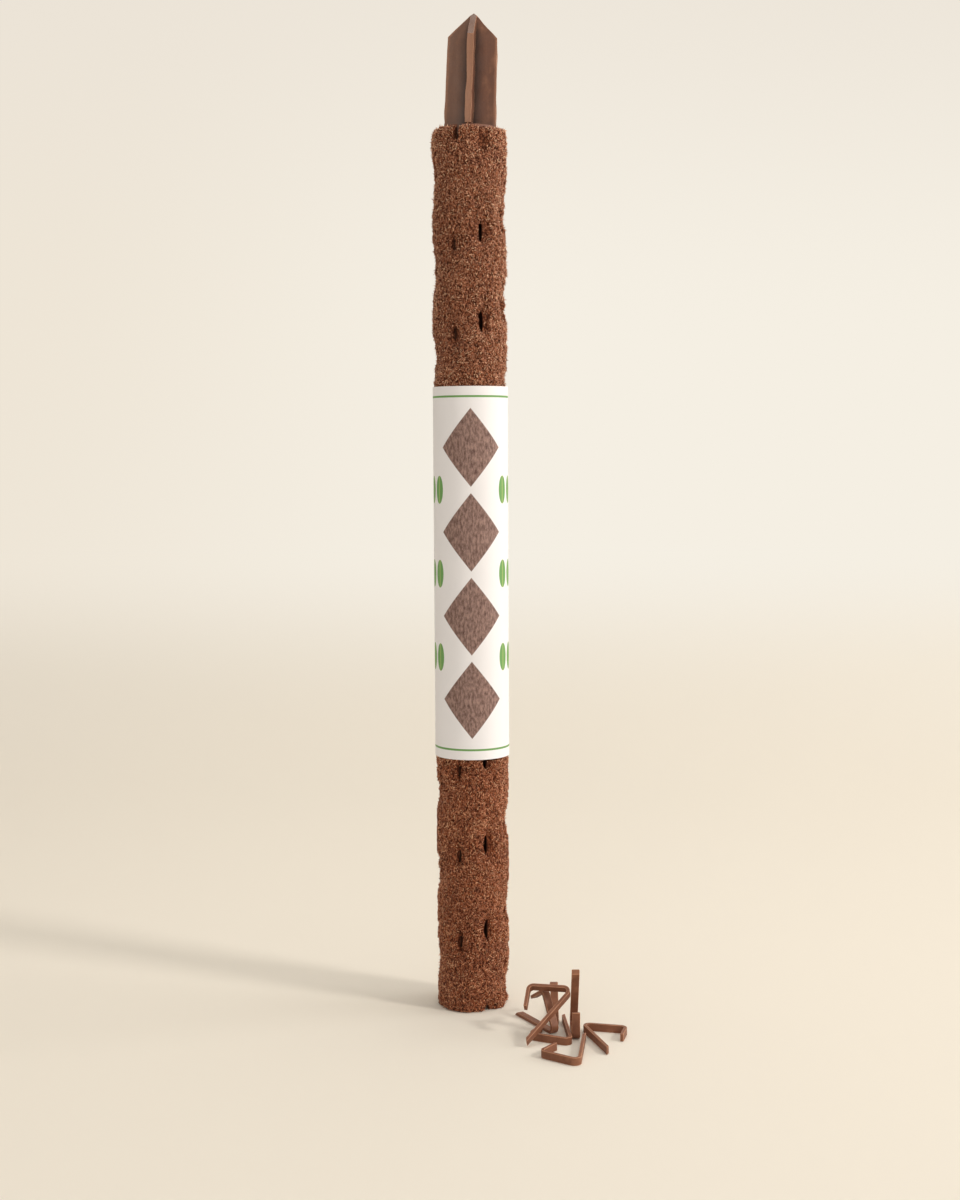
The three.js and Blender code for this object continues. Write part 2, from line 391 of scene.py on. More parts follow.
@dataclass(frozen=True)
class CoirFelt:
    """The pressed ground under the loose fibres: crumbs of pith, with painted shade in the gaps between
    them.
    """

    # The darkest stop is painted shade for the gaps between crumbs
    gap_shade: Colour = seen(74, 38, 24)
    middle: Colour = seen(138, 83, 58)
    pale: Colour = seen(188, 125, 92)
    painted_bounce_tint: Colour = PAINTED_BOUNCE_TINT
    crumb: float = 1.15 * MM
    crumb_shape: Triple = (1.0, 1.0, 0.7)
    speck: float = 0.6 * MM
    patch: float = 22 * MM
    gap_share: float = 1.15
    speck_share: float = 0.7
    patch_share: float = 0.3
    relief: float = 0.7 * MM
    roughness: float = 0.92

    def make(self) -> bpy.types.Material:
        """The material.

        Returns:
            The material, which reads the point on the piece.
        """
        material, book = new_material("coir_felt")
        place = book.place()
        inputs = {"Vector": book.stretched(place, self.crumb_shape), "Scale": 1 / self.crumb}
        gaps = book.add("ShaderNodeTexVoronoi", {"feature": "F1"}, inputs, "Distance")
        specks = book.grain(place, self.speck, detail=3, rough=0.65)
        patches = book.grain(place, self.patch)
        # The colour follows the height, so the gaps between crumbs get painted shade
        height = 1 - gaps * self.gap_share + (specks - 0.5) * self.speck_share
        tone = height + (patches - 0.5) * self.patch_share
        colour = book.shade(tone, [(0.25, self.gap_shade), (0.62, self.middle), (1.0, self.pale)])
        # Painted warm bounce light from the floor near the open end
        low = 1 - place.part("Z").ramp(*PAINTED_BOUNCE_SPAN)
        colour = book.mix(low, colour, self.painted_bounce_tint, "MULTIPLY")
        book.surface(
            base_color=colour,
            roughness=self.roughness,
            specular_ior_level=0.15,
            normal=book.bump(height, self.relief),
        )
        return material


@dataclass(frozen=True)
class CoirStrand:
    """The loose coir fibres and chips, each with its own tone along the bake map's first axis.

    The lower half of the map is for those near the open end, which carry painted warm bounce light from the
    floor.
    """

    stops: tuple[tuple[float, Colour], ...] = (
        (0.0, seen(88, 47, 31)),
        (0.25, seen(146, 91, 64)),
        (0.55, seen(190, 127, 94)),
        (0.85, seen(220, 162, 127)),
        (1.0, seen(240, 198, 162)),
    )
    tip: Colour = seen(208, 149, 114)
    tip_share: float = 0.3
    tip_reach: float = 0.2
    painted_bounce_tint: Colour = PAINTED_BOUNCE_TINT
    roughness: float = 0.54

    def make(self) -> bpy.types.Material:
        """The material.

        Returns:
            The material, which reads the strands' own map.
        """
        material, book = new_material("coir_strand")
        spot = book.add("ShaderNodeUVMap", {"uv_map": BAKE_MAP})
        body = book.shade(spot.part("X"), list(self.stops))
        from_end = spot.part("Y").wrapped(0.5) * 2
        ends = (1 - from_end.ramp(0.0, self.tip_reach)) * self.tip_share
        colour = book.mix(ends, body, self.tip)
        # Painted warm bounce light from the floor on the strands near the open end
        low = 1 - spot.part("Y").maths("GREATER_THAN", 0.5)
        colour = book.mix(low, colour, self.painted_bounce_tint, "MULTIPLY")
        book.surface(base_color=colour, roughness=self.roughness, specular_ior_level=0.5)
        return material


@dataclass(frozen=True)
class MouldedPlastic:
    """Brown moulded bioplastic with flow streaks, scuffs and paler rubbed edges.

    A finned piece has painted shade towards its thick middle and on faces turned up along its axis, painted
    light along the outer edges of its fins, and may have a painted grey sheen on the side towards -X.
    """

    name: str
    tone: Colour
    streak: Colour
    # Paler colour for worn edges and cloudy patches, also used as painted light along fin edges
    rubbed_and_lit: Colour
    roughness: float
    streak_width: float = 3 * MM
    along: Triple = (1.0, 1.0, 0.12)
    streak_edge: Span = (0.35, 0.75)
    cloud: float = 9 * MM
    cloud_edge: Span = (0.5, 0.8)
    cloud_share: float = 0.35
    wear_edge: Span = (0.2, 0.6)
    pore: float = 0.7 * MM
    relief: float = 0.12 * MM
    core_shade: Optional[Colour] = None
    core_shade_edge: Span = (0.15, 0.6)
    fin_light_edge: Span = (0.86, 0.96)
    fin_light_share: float = 0.5
    upturned_shade_share: float = 0.6
    painted_sheen: Optional[Colour] = None
    painted_sheen_edge: Span = (-1 * MM, 2 * MM)

    def make(self) -> bpy.types.Material:
        """The material.

        Returns:
            The material, which reads the point on the piece and the piece's own marks.
        """
        material, book = new_material(self.name)
        place = book.place()
        streaks = book.grain(book.stretched(place, self.along), self.streak_width, detail=4, rough=0.6)
        clouds = book.grain(place, self.cloud, detail=3)
        pores = book.grain(place, self.pore, detail=2)
        body = book.mix(streaks.ramp(*self.streak_edge), self.tone, self.streak)
        body = book.mix(clouds.ramp(*self.cloud_edge) * self.cloud_share, body, self.rubbed_and_lit)
        # Painted grey sheen, a reflection, on the side towards -X
        if self.painted_sheen:
            side = place.part("X").ramp(*self.painted_sheen_edge)
            body = book.mix((1 - side) * (streaks * 0.8 + 0.25), body, self.painted_sheen)
        # Painted shade towards the thick middle of a finned piece, in the corners between the fins
        if self.core_shade:
            reach = book.mark("reach")
            body = book.mix(reach.ramp(*self.core_shade_edge), self.core_shade, body)
            # Painted light along the outer edges of the fins
            body = book.mix(reach.ramp(*self.fin_light_edge) * self.fin_light_share, body, self.rubbed_and_lit)
            # Painted shade on faces turned up along the axis
            body = book.mix(book.mark("upturned") * self.upturned_shade_share, body, self.core_shade)
        body = book.mix(book.mark("wear") * clouds.ramp(*self.wear_edge), body, self.rubbed_and_lit)
        gloss = self.roughness + (clouds - 0.5) * 0.3 + (pores - 0.5) * 0.15
        relief = pores * 0.4 + streaks * 0.6
        book.surface(
            base_color=body,
            roughness=gloss,
            specular_ior_level=0.35,
            normal=book.bump(relief, self.relief),
        )
        return material


@dataclass(frozen=True)
class PrintedPaper:
    """White coated paper with a generic print: fibre-brown lozenges and small green leaf pairs."""

    white: Colour = seen(241, 240, 243)
    brown_dark: Colour = seen(92, 66, 60)
    brown_light: Colour = seen(164, 134, 124)
    leaf: Colour = seen(104, 156, 84)
    young_leaf: Colour = seen(160, 186, 104)
    columns: int = 3
    lozenge_rows: int = 4
    lozenge_half_width: float = 0.36
    lozenge_half_height: float = 0.47
    lozenge_fibre: float = 1.3 * MM
    fibre_stretch: float = 0.35
    fibre_edge: Span = (0.3, 0.7)
    border: float = 11 * MM
    leaf_aside: float = 4.2 * MM
    leaf_half_width: float = 3.4 * MM
    leaf_half_height: float = 8.5 * MM
    vein: Span = (0.25 * MM, 0.5 * MM)
    stripe_inset: float = 6.0 * MM
    stripe_width: float = 1.3 * MM
    ink_edge: float = 0.1 * MM
    tooth: float = 0.5 * MM
    crease: float = 14 * MM
    crease_shape: Triple = (1.0, 1.0, 0.25)
    relief: float = 0.35 * MM
    roughness: float = 0.5

    def make(self, length: float, height: float) -> bpy.types.Material:
        """The material.

        Args:
            length: Length of the paper round the pole.
            height: Height of the band.

        Returns:
            The material, which reads the band's own map.
        """
        material, book = new_material("printed_paper")
        spot = book.add("ShaderNodeUVMap", {"uv_map": BAKE_MAP})
        across = spot.part("X") * length
        up = spot.part("Y") * height
        fibres = book.add("ShaderNodeCombineXYZ", {}, {"X": across, "Y": up * self.fibre_stretch})
        fibres = book.grain(fibres, self.lozenge_fibre, detail=4, rough=0.7)
        brown = book.mix(fibres.ramp(*self.fibre_edge), self.brown_dark, self.brown_light)
        pitch = length / self.columns
        rise = (height - 2 * self.border) / self.lozenge_rows
        aside = (across - length / 2).wrapped(pitch) / pitch
        above = (up - self.border - rise / 2).wrapped(rise) / rise
        field_mask = self._inside(up, self.border, height)
        lozenge = aside / self.lozenge_half_width + above / self.lozenge_half_height
        lozenge = (1 - lozenge.ramp(0.97, 1.0)) * field_mask
        colour = book.mix(lozenge, self.white, brown)
        aside_gap = (across - length / 2 + pitch / 2).wrapped(pitch) - self.leaf_aside
        above_gap = (up - self.border).wrapped(rise)
        leaf = (aside_gap / self.leaf_half_width) ** 2.0 + (above_gap / self.leaf_half_height) ** 2.0
        green = book.mix(abs(aside_gap).ramp(*self.vein), self.young_leaf, self.leaf)
        between = self._inside(up, self.border + rise / 2, height)
        colour = book.mix((1 - leaf.ramp(0.92, 1.0)) * between, colour, green)
        stripe = self._stripe(up, self.stripe_inset).most(self._stripe(up, height - self.stripe_inset))
        colour = book.mix(stripe, colour, self.leaf)
        tooth = book.grain(book.place(), self.tooth, detail=2)
        creases = book.grain(book.stretched(book.place(), self.crease_shape), self.crease, detail=2)
        gloss = self.roughness + (tooth - 0.5) * 0.1 + lozenge * 0.06
        normal = book.bump(creases * 0.9 + tooth * 0.1, self.relief, 0.7)
        book.surface(base_color=colour, roughness=gloss, specular_ior_level=0.4, normal=normal)
        return material

    def _inside(self, up: Link, margin: float, height: float) -> Link:
        """1 on the band but for a margin at each edge."""
        from_middle = abs(up - height / 2)
        return 1 - from_middle.ramp(height / 2 - margin, height / 2 - margin + self.ink_edge)

    def _stripe(self, up: Link, middle: float) -> Link:
        """1 on a line round the band."""
        half = self.stripe_width / 2
        return 1 - abs(up - middle).ramp(half - self.ink_edge, half)


@dataclass(frozen=True)
class StudioPaper:
    """The pale cream sweep that the object stands on, which glows with its own tone far off and where it
    rises, with painted shade towards the left and the top.
    """

    tone: Colour = seen(237, 232, 221)
    backdrop: Colour = seen(245, 239, 227)
    backdrop_left_shaded: Colour = seen(238, 229, 214)
    backdrop_top_shaded: Colour = seen(235, 227, 215)
    cloud: float = 0.9
    cloud_shade: float = 0.97
    left_edge: Span = (-0.8, 0.1)
    top_edge: Span = (0.5, 1.3)
    top_share: float = 0.8
    rise: Span = (0.01, 0.2)
    far: Span = (0.8, 2.2)

    def make(self) -> bpy.types.Material:
        """The material.

        Returns:
            The material, which gives its own tone where it is looked at far off.
        """
        material, book = new_material("studio_paper")
        place = book.place()
        x, y, z = (place.part(axis) for axis in "XYZ")
        cloud = book.grain(place, self.cloud, detail=1)
        colour = book.mix(cloud, self.tone, tuple(self.cloud_shade * c for c in self.tone))
        paper = book.add("ShaderNodeBsdfDiffuse", {}, {"Color": colour})
        # Painted shade towards the left and the top of the backdrop
        shown = book.mix(x.ramp(*self.left_edge), self.backdrop_left_shaded, self.backdrop)
        shown = book.mix(z.ramp(*self.top_edge) * self.top_share, shown, self.backdrop_top_shaded)
        glow = book.add("ShaderNodeEmission", {}, {"Color": shown, "Strength": 1.0})
        far = ((x * x + y * y) ** 0.5).ramp(*self.far)
        share = z.ramp(*self.rise).most(far) * book.looked_at()
        inputs = {"Fac": share, "Shader": paper, "Shader_001": glow}
        both = book.add("ShaderNodeMixShader", {}, inputs)
        book.add("ShaderNodeOutputMaterial", {}, {"Surface": both})
        return material


def mesh_object(name: str, mesh: bpy.types.Mesh) -> bpy.types.Object:
    """A new object at the origin, in the scene.

    Args:
        name: Its name.
        mesh: Its mesh.

    Returns:
        The object.
    """
    made = bpy.data.objects.new(name, mesh)
    bpy.context.scene.collection.objects.link(made)
    return made


def settled(source: bpy.types.Object, name: str) -> bpy.types.Object:
    """A plain mesh object from what an object's modifiers make, in place of that object.

    Args:
        source: The object with modifiers, which is removed.
        name: Name of the new piece.

    Returns:
        The new object.
    """
    graph = bpy.context.evaluated_depsgraph_get()
    mesh = bpy.data.meshes.new_from_object(source.evaluated_get(graph), depsgraph=graph)
    mesh.name = name
    old = source.data
    bpy.data.objects.remove(source)
    if old.users == 0:
        bpy.data.meshes.remove(old)
    return mesh_object(name, mesh)


def store(mesh: bpy.types.Mesh, name: str, domain: Domain, values: np.ndarray) -> None:
    """Writes a float attribute on a mesh."""
    attribute = mesh.attributes.new(name, "FLOAT", domain.value)
    attribute.data.foreach_set("value", np.asarray(values, np.float32))


def dressed(piece: bpy.types.Object, material: bpy.types.Material) -> bpy.types.Object:
    """Gives a piece one material.

    Args:
        piece: The piece.
        material: Its only material from here on.

    Returns:
        The piece.
    """
    piece.data.materials.clear()
    piece.data.materials.append(material)
    return piece


def join_frame(piece: bpy.types.Object, body: str, slot: Slot, *nodes: str) -> bpy.types.Object:
    """Makes a piece ride on a body and hides the CAD nodes that it stands for.

    Args:
        piece: The finished piece.
        body: Name of the body.
        slot: The record's material slot, which is not used.
        nodes: The CAD nodes that it replaces.

    Returns:
        The piece.
    """
    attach(piece, body)
    if nodes:
        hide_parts(*nodes)
    LOG.info("%s rides on %s, %d faces", piece.name, body, len(piece.data.polygons))
    return piece


@dataclass
class SlotHelix:
    """The slots, which climb round the pole on one helix."""

    pitch: float = 52.3 * MM
    per_turn: int = 7
    twist: float = math.radians(-0.6)
    first_height: float = -1.6 * MM
    first_azimuth: float = math.radians(28.6)
    end_margin: float = 8 * MM
    half_width: float = 2.5 * MM
    half_height: float = 8.0 * MM
    hole_shift: float = -0.9 * MM
    most_open: float = math.radians(75)
    closing: float = 0.42
    notch_shift: float = math.radians(8)
    notch_depth: float = 8.6 * MM

    def centres(self, length: float) -> list[tuple[float, float]]:
        """Azimuth and height of each slot.

        Args:
            length: Length of the sleeve.

        Returns:
            The slots from the open end up, without the one whose place the rim's notch takes.
        """
        numbers = [n for n in range(self.last(length) + 1) if n != self.last(length) - 1]
        return [self.slot(n) for n in numbers]

    def last(self, length: float) -> int:
        """Number of the last slot on a sleeve of this length."""
        return int((length - self.end_margin - self.first_height) / (self.pitch / self.per_turn))

    def slot(self, number: int) -> tuple[float, float]:
        """Azimuth and height of one slot."""
        turn = (2 * math.pi + self.twist) / self.per_turn
        return self.first_azimuth + number * turn, self.first_height + number * self.pitch / self.per_turn

    def openness(self, azimuth: float) -> float:
        """Share of its full size that a slot has, less on the side that the wrapped mat is pulled from."""
        return 1 - self.closing * (1 - math.cos(azimuth - self.most_open))

    def notch_azimuth(self, length: float) -> float:
        """Azimuth of the rim's notch, beside the slot that it takes the place of."""
        return self.slot(self.last(length) - 1)[0] + self.notch_shift


@dataclass
class CoirSleeve:
    """The coir sleeve: a felt of pressed fibre, drawn in round each slot, with loose fibres on it."""

    helix: SlotHelix = field(default_factory=SlotHelix)
    length: float = 530 * MM
    inner: float = 16.75 * MM
    outer: float = 21.7 * MM
    most: float = 22.1 * MM
    end_round: float = 3.6 * MM
    foot_round: float = 1.2 * MM
    columns: int = 120
    cut_columns: int = 3
    pulled_columns: int = 11
    rows: int = 487
    arc_steps: int = 6
    foot_steps: int = 2
    least_wall: float = 0.4 * MM
    dimple_depth: float = 2.4 * MM
    dimple_half_width: float = 17 * MM
    dimple_half_height: float = 22 * MM
    dimple_sway: float = 6 * MM
    lip_depths: Span = (0.5 * MM, 2.2 * MM)
    lip_reaches: Span = (3.0 * MM, 5.0 * MM)
    lip_height: float = 0.8
    lip_turn: float = 1.5 * MM
    slot_fade: Span = (6.7 * MM, 9.5 * MM)
    slot_fullness: float = 0.7
    slot_tip: float = 0.25
    tip_room: float = 0.3 * MM
    tip_fill: float = 0.35 * MM
    rim_wave: float = 1.2 * MM
    rim_wave_length: float = 5 * MM
    rim_wave_depths: Span = (10 * MM, 2 * MM)
    lumps: tuple[Span, ...] = ((34, 0.5), (17, 0.4), (8, 0.5), (4.5, 0.8), (2.7, 1.3))
    rim_fill: float = 16 * MM
    bald_half_width: float = 5 * MM
    bald_half_height: float = 10 * MM
    bald_below_notch: float = 2 * MM
    short_share: float = 0.35
    skin_from: float = 0.6 * MM
    bare_foot: float = 0.3 * MM
    most_sideways: float = 0.75
    bore_room: float = 0.05 * MM
    bore_flat: float = math.radians(1.5)
    sharp: float = math.radians(55)

    def profile(self) -> tuple[np.ndarray, np.ndarray]:
        """The skin's rows, with a small round at the foot and a larger one at the rim.

        Returns:
            Height of each row, and how far the rounded ends draw it in.
        """
        foot = np.linspace(0, math.pi / 2, self.foot_steps + 1)[:-1]
        rim = np.linspace(0, math.pi / 2, self.arc_steps + 1)[1:]
        straight = np.linspace(self.foot_round, self.length - self.end_round, self.rows + 1)
        heights = [self.foot_round * (1 - np.cos(foot)), straight]
        heights.append(self.length - self.end_round + self.end_round * np.sin(rim))
        insets = [self.foot_round * (1 - np.sin(foot)), np.zeros(len(straight))]
        insets.append(self.end_round * (1 - np.cos(rim)))
        return np.concatenate(heights), np.concatenate(insets)

    def skin(self) -> tuple[np.ndarray, np.ndarray, np.ndarray, np.ndarray]:
        """The outer skin as a grid.

        Returns:
            Azimuths, heights and radii of the grid's points by row and column, and the cells that the slots
            leave open.
        """
        heights, insets = self.profile()
        step = 2 * math.pi / self.columns
        azimuths = (np.arange(self.columns) + 0.5) * step
        azimuth, height = np.meshgrid(azimuths, heights)
        proud = np.ones_like(height)
        lips = np.zeros_like(height)
        turned = azimuth.copy()
        open_cells = np.zeros((len(heights) - 1, self.columns), bool)
        middles = (heights[:-1] + heights[1:]) / 2
        cell_middles = azimuths + step / 2
        for centre, level in self.helix.centres(self.length):
            aside = wrapped(azimuth - centre)
            above = height - level
            swayed = above - self.dimple_sway * math.sin(centre) ** 3
            far = np.hypot(aside * self.outer / self.dimple_half_width, swayed / self.dimple_half_height)
            proud *= np.sin(np.clip(far, 0, 1) * math.pi / 2) ** 2
            size = self.helix.openness(centre)
            half = self.slot_half(above, size)
            hole = centre + self.helix.hole_shift / self.outer
            lips = np.maximum(lips, self.lip(wrapped(azimuth - hole) * self.outer, above, size))
            nearest = round(hole / step) * step
            calm = 1 - ease(*self.slot_fade, np.abs(above))
            shift = (hole - nearest) * calm
            turned += self.pulled(wrapped(azimuth - nearest), half / self.outer, shift)
            across = np.abs(wrapped(cell_middles - nearest)) < (self.cut_columns / 2 + 0.1) * step
            within = np.abs(middles - level) < self.helix.half_height * size - self.tip_fill
            within &= middles < self.length - self.rim_fill
            open_cells |= within[:, None] & across[None, :]
        notch_aside = np.abs(wrapped(cell_middles - self.helix.notch_azimuth(self.length)))
        beside = np.argsort(notch_aside)[: self.cut_columns]
        open_cells[np.ix_(middles > self.length - self.helix.notch_depth, beside)] = True
        radius = self.outer - insets[:, None] - (1 - proud) * self.dimple_depth - lips
        points = around(self.outer, azimuth, height).reshape(-1, 3)
        for size, share in self.lumps:
            radius += share * MM * unevenness(points, size * MM, size).reshape(radius.shape)
        wave = unevenness(points, self.rim_wave_length, 3.0).reshape(height.shape)
        low, high = (self.length - depth for depth in self.rim_wave_depths)
        height = height + wave * self.rim_wave * ease(low, high, height)
        return turned, height, np.clip(radius, self.inner + self.least_wall, self.most), open_cells

    def lip(self, aside: np.ndarray, above: np.ndarray, size: float) -> np.ndarray:
        """How far the felt is drawn in beside a slot, on one side a little and on the other to the tube.

        Args:
            aside: Distance round the pole from the slot's middle.
            above: Height from the slot's middle.
            size: Share of the full size that the slot has.

        Returns:
            The depth at each point.
        """
        beyond = np.hypot(
            np.maximum(np.abs(aside) - self.helix.half_width * size, 0),
            np.maximum(np.abs(above) - self.helix.half_height * self.lip_height * size, 0),
        )
        share = ease(-self.lip_turn, self.lip_turn, aside)
        depth, reach = (low + (high - low) * share for low, high in (self.lip_depths, self.lip_reaches))
        return depth * (1 - ease(0, reach, beyond))

    def slot_half(self, above: np.ndarray, size: float) -> np.ndarray:
        """Half the width of a slot at each height from its middle, with pointed ends.

        Args:
            above: Height from the slot's middle.
            size: Share of the full size that the slot has.

        Returns:
            The half width, which runs out to the plain width of the columns above and below the slot.
        """
        share = np.clip(1 - (above / (self.helix.half_height * size + self.tip_room)) ** 2, 0, 1)
        lens = self.helix.half_width * size * np.maximum(share**self.slot_fullness, self.slot_tip)
        plain = self.cut_columns / 2 * 2 * math.pi / self.columns * self.outer
        return lens + (plain - lens) * ease(*self.slot_fade, np.abs(above))

    def pulled(self, aside: np.ndarray, half: np.ndarray, shift: np.ndarray) -> np.ndarray:
        """How far the columns beside a slot turn so that its sides follow the slot's outline.

        Args:
            aside: Azimuth from the column that the slot is cut in.
            half: The slot's half width there, as an angle.
            shift: Angle from that column to the slot's true middle.

        Returns:
            The turn of each point.
        """
        step = 2 * math.pi / self.columns
        edge, calm = self.cut_columns / 2 * step, self.pulled_columns / 2 * step
        size = np.abs(aside)
        near = size / edge * half
        between = half + (size - edge) / (calm - edge) * (calm - half)
        moved = np.where(size <= edge + 1e-6, near, np.where(size < calm, between, size))
        fade = 1 - np.clip((size - edge) / (calm - edge), 0, 1)
        return np.sign(aside) * moved - aside + shift * fade

    def felt(self) -> bpy.types.Object:
        """The closed felt: skin, bore, slot walls and both ends.

        Returns:
            The felt, marked for its fibres.
        """
        azimuth, height, radius, open_cells = self.skin()
        outside = around(radius, azimuth, height).reshape(-1, 3)
        inside = around(self.inner, azimuth, height).reshape(-1, 3)
        mesh = bpy.data.meshes.new("coir_felt")
        mesh.from_pydata(np.concatenate([outside, inside]).tolist(), [], self.faces(open_cells))
        self.thin_bore(mesh)
        mesh.shade_smooth()
        mesh.set_sharp_from_angle(angle=self.sharp)
        self.mark_skin(mesh)
        return mesh_object("coir_felt", mesh)

    @staticmethod
    def faces(open_cells: np.ndarray) -> list[tuple[int, ...]]:
        """The felt's faces, by the numbers of their points.

        Args:
            open_cells: The cells of the skin that the slots leave open, by row and column.

        Returns:
            The faces. The points of the bore are numbered on from those of the skin.
        """
        rows, columns = open_cells.shape[0] + 1, open_cells.shape[1]
        count = rows * columns
        number = np.arange(count).reshape(rows, columns)
        faces: list[tuple[int, ...]] = []
        for row in range(rows - 1):
            for column in range(columns):
                beside = (column + 1) % columns
                corners = [*number[row, [column, beside]], *number[row + 1, [beside, column]]]
                if not open_cells[row, column]:
                    faces.append(tuple(corners))
                    faces.append(tuple(c + count for c in reversed(corners)))
                    continue
                sides = {
                    (0, 1): row > 0 and not open_cells[row - 1, column],
                    (1, 2): not open_cells[row, beside],
                    (2, 3): row < rows - 2 and not open_cells[row + 1, column],
                    (3, 0): not open_cells[row, column - 1],
                }
                for (a, b), walled in sides.items():
                    if walled:
                        faces.append((corners[b], corners[a], corners[a] + count, corners[b] + count))
        for column in range(columns):
            beside = (column + 1) % columns
            if not open_cells[0, column]:
                a, b = number[0, column], number[0, beside]
                faces.append((b, a, a + count, b + count))
            if not open_cells[-1, column]:
                a, b = number[-1, column], number[-1, beside]
                faces.append((a, b, b + count, a + count))
        return faces

    def thin_bore(self, mesh: bpy.types.Mesh) -> None:
        """Joins the flat strips of the bore, which needs no detail, and drops unused points.

        Args:
            mesh: The felt, which is changed.
        """
        shape = bmesh.new()
        shape.from_mesh(mesh)
        loose = [v for v in shape.verts if not v.link_faces]
        bmesh.ops.delete(shape, geom=loose, context="VERTS")
        limit = self.inner + self.bore_room
        bore = [f for f in shape.faces if all(math.hypot(v.co.x, v.co.y) < limit for v in f.verts)]
        edges = list(dict.fromkeys(e for f in bore for e in f.edges))
        points = list(dict.fromkeys(v for f in bore for v in f.verts))
        bmesh.ops.dissolve_limit(shape, angle_limit=self.bore_flat, verts=points, edges=edges)
        shape.to_mesh(mesh)
        shape.free()

    def mark_skin(self, mesh: bpy.types.Mesh) -> None:
        """Marks the faces that carry fibres, and how long fibres may be near the slots.

        Args:
            mesh: The felt, which gets the marks as attributes.
        """
        centres = np.array([f.center for f in mesh.polygons])
        normals = np.array([f.normal for f in mesh.polygons])
        out = np.hypot(centres[:, 0], centres[:, 1])
        sideways = np.abs(normals[:, 1] * centres[:, 0] - normals[:, 0] * centres[:, 1]) / out
        on_skin = (out > self.inner + self.skin_from) & (sideways < self.most_sideways)
        on_skin &= centres[:, 2] > self.bare_foot
        store(mesh, "skin", Domain.FACE, on_skin)
        points = np.array([v.co for v in mesh.vertices])
        azimuth = np.arctan2(points[:, 0], -points[:, 1])
        reach = np.ones(len(points))
        for centre, level in self.helix.centres(self.length):
            aside = wrapped(azimuth - centre) * self.outer
            far = np.hypot(aside / self.bald_half_width, (points[:, 2] - level) / self.bald_half_height)
            reach = np.minimum(reach, self.short_share + (1 - self.short_share) * ease(0.5, 1.0, far))
        from_notch = np.abs(wrapped(azimuth - self.helix.notch_azimuth(self.length))) * self.outer
        below_rim = (self.length - points[:, 2]) / (self.helix.notch_depth + self.bald_below_notch)
        far = np.hypot(from_notch / self.bald_half_width, below_rim)
        reach = np.minimum(reach, self.short_share + (1 - self.short_share) * ease(0.6, 1.0, far))
        store(mesh, "reach", Domain.POINT, reach)

    def build(self) -> list[bpy.types.Object]:
        """The felt and its fibres.

        Returns:
            The pieces, dressed and riding on the pole.
        """
        felt = self.felt()
        area = math.pi * 2 * self.outer * self.length
        strand = CoirStrand().make()
        pieces = []
        for kind in Fibre:
            tree = FibreTree(kind.value).make(strand)
            for number in range(kind.value.pieces):
                name = f"coir_{kind.name.lower()}_{number + 1}"
                carrier = mesh_object(name + "_carrier", felt.data.copy())
                modifier = carrier.modifiers.new("fibres", "NODES")
                modifier.node_group = tree
                FibreTree.set_inputs(modifier, {"Seed": len(pieces) + 1, **kind.value.inputs(area)})
                pieces.append(settled(carrier, name))
        for name in ("skin", "reach"):
            felt.data.attributes.remove(felt.data.attributes[name])
        dressed(felt, CoirFelt().make())
        for piece in (felt, *pieces):
            join_frame(piece, Body.POLE.value, Slot.COIR, "coir_sleeve")
        return [felt, *pieces]


@dataclass(frozen=True)
class StrandSizes:
    """Sizes and habits of one kind of strand on the coir."""

    length: float
    thickness: float
    tilt: float
    spread: float
    paleness: float
    bent: bool
    pieces: int
    in_a_piece: int

    def inputs(self, area: float) -> dict[str, float]:
        """The fibre tree's inputs.

        Args:
            area: Area of the surface that the strands are strewn on.

        Returns:
            The values by the inputs' names.
        """
        return {
            "Density": self.in_a_piece / area,
            "Length": self.length,
            "Thickness": self.thickness,
            "Tilt": self.tilt,
            "Spread": self.spread,
        }


class Fibre(Enum):
    """The kinds of strand on the coir: short lumps of pith, and thin bent hairs."""

    CRUMB = StrandSizes(
        length=2.3 * MM,
        thickness=0.6 * MM,
        tilt=1.2,
        spread=2.8,
        paleness=0.46,
        bent=False,
        pieces=5,
        in_a_piece=20500,
    )
    HAIR = StrandSizes(
        length=3.6 * MM,
        thickness=0.28 * MM,
        tilt=0.45,
        spread=2.2,
        paleness=0.6,
        bent=True,
        pieces=1,
        in_a_piece=7800,
    )


class Draw(Enum):
    """The random draws for each strand, by the number that sets its seed apart."""

    TONE = 100
    SPIN = 200
    LEAN = 300
    ROLL = 400
    LENGTH = 500
    GIRTH = 600
    TINT = 700


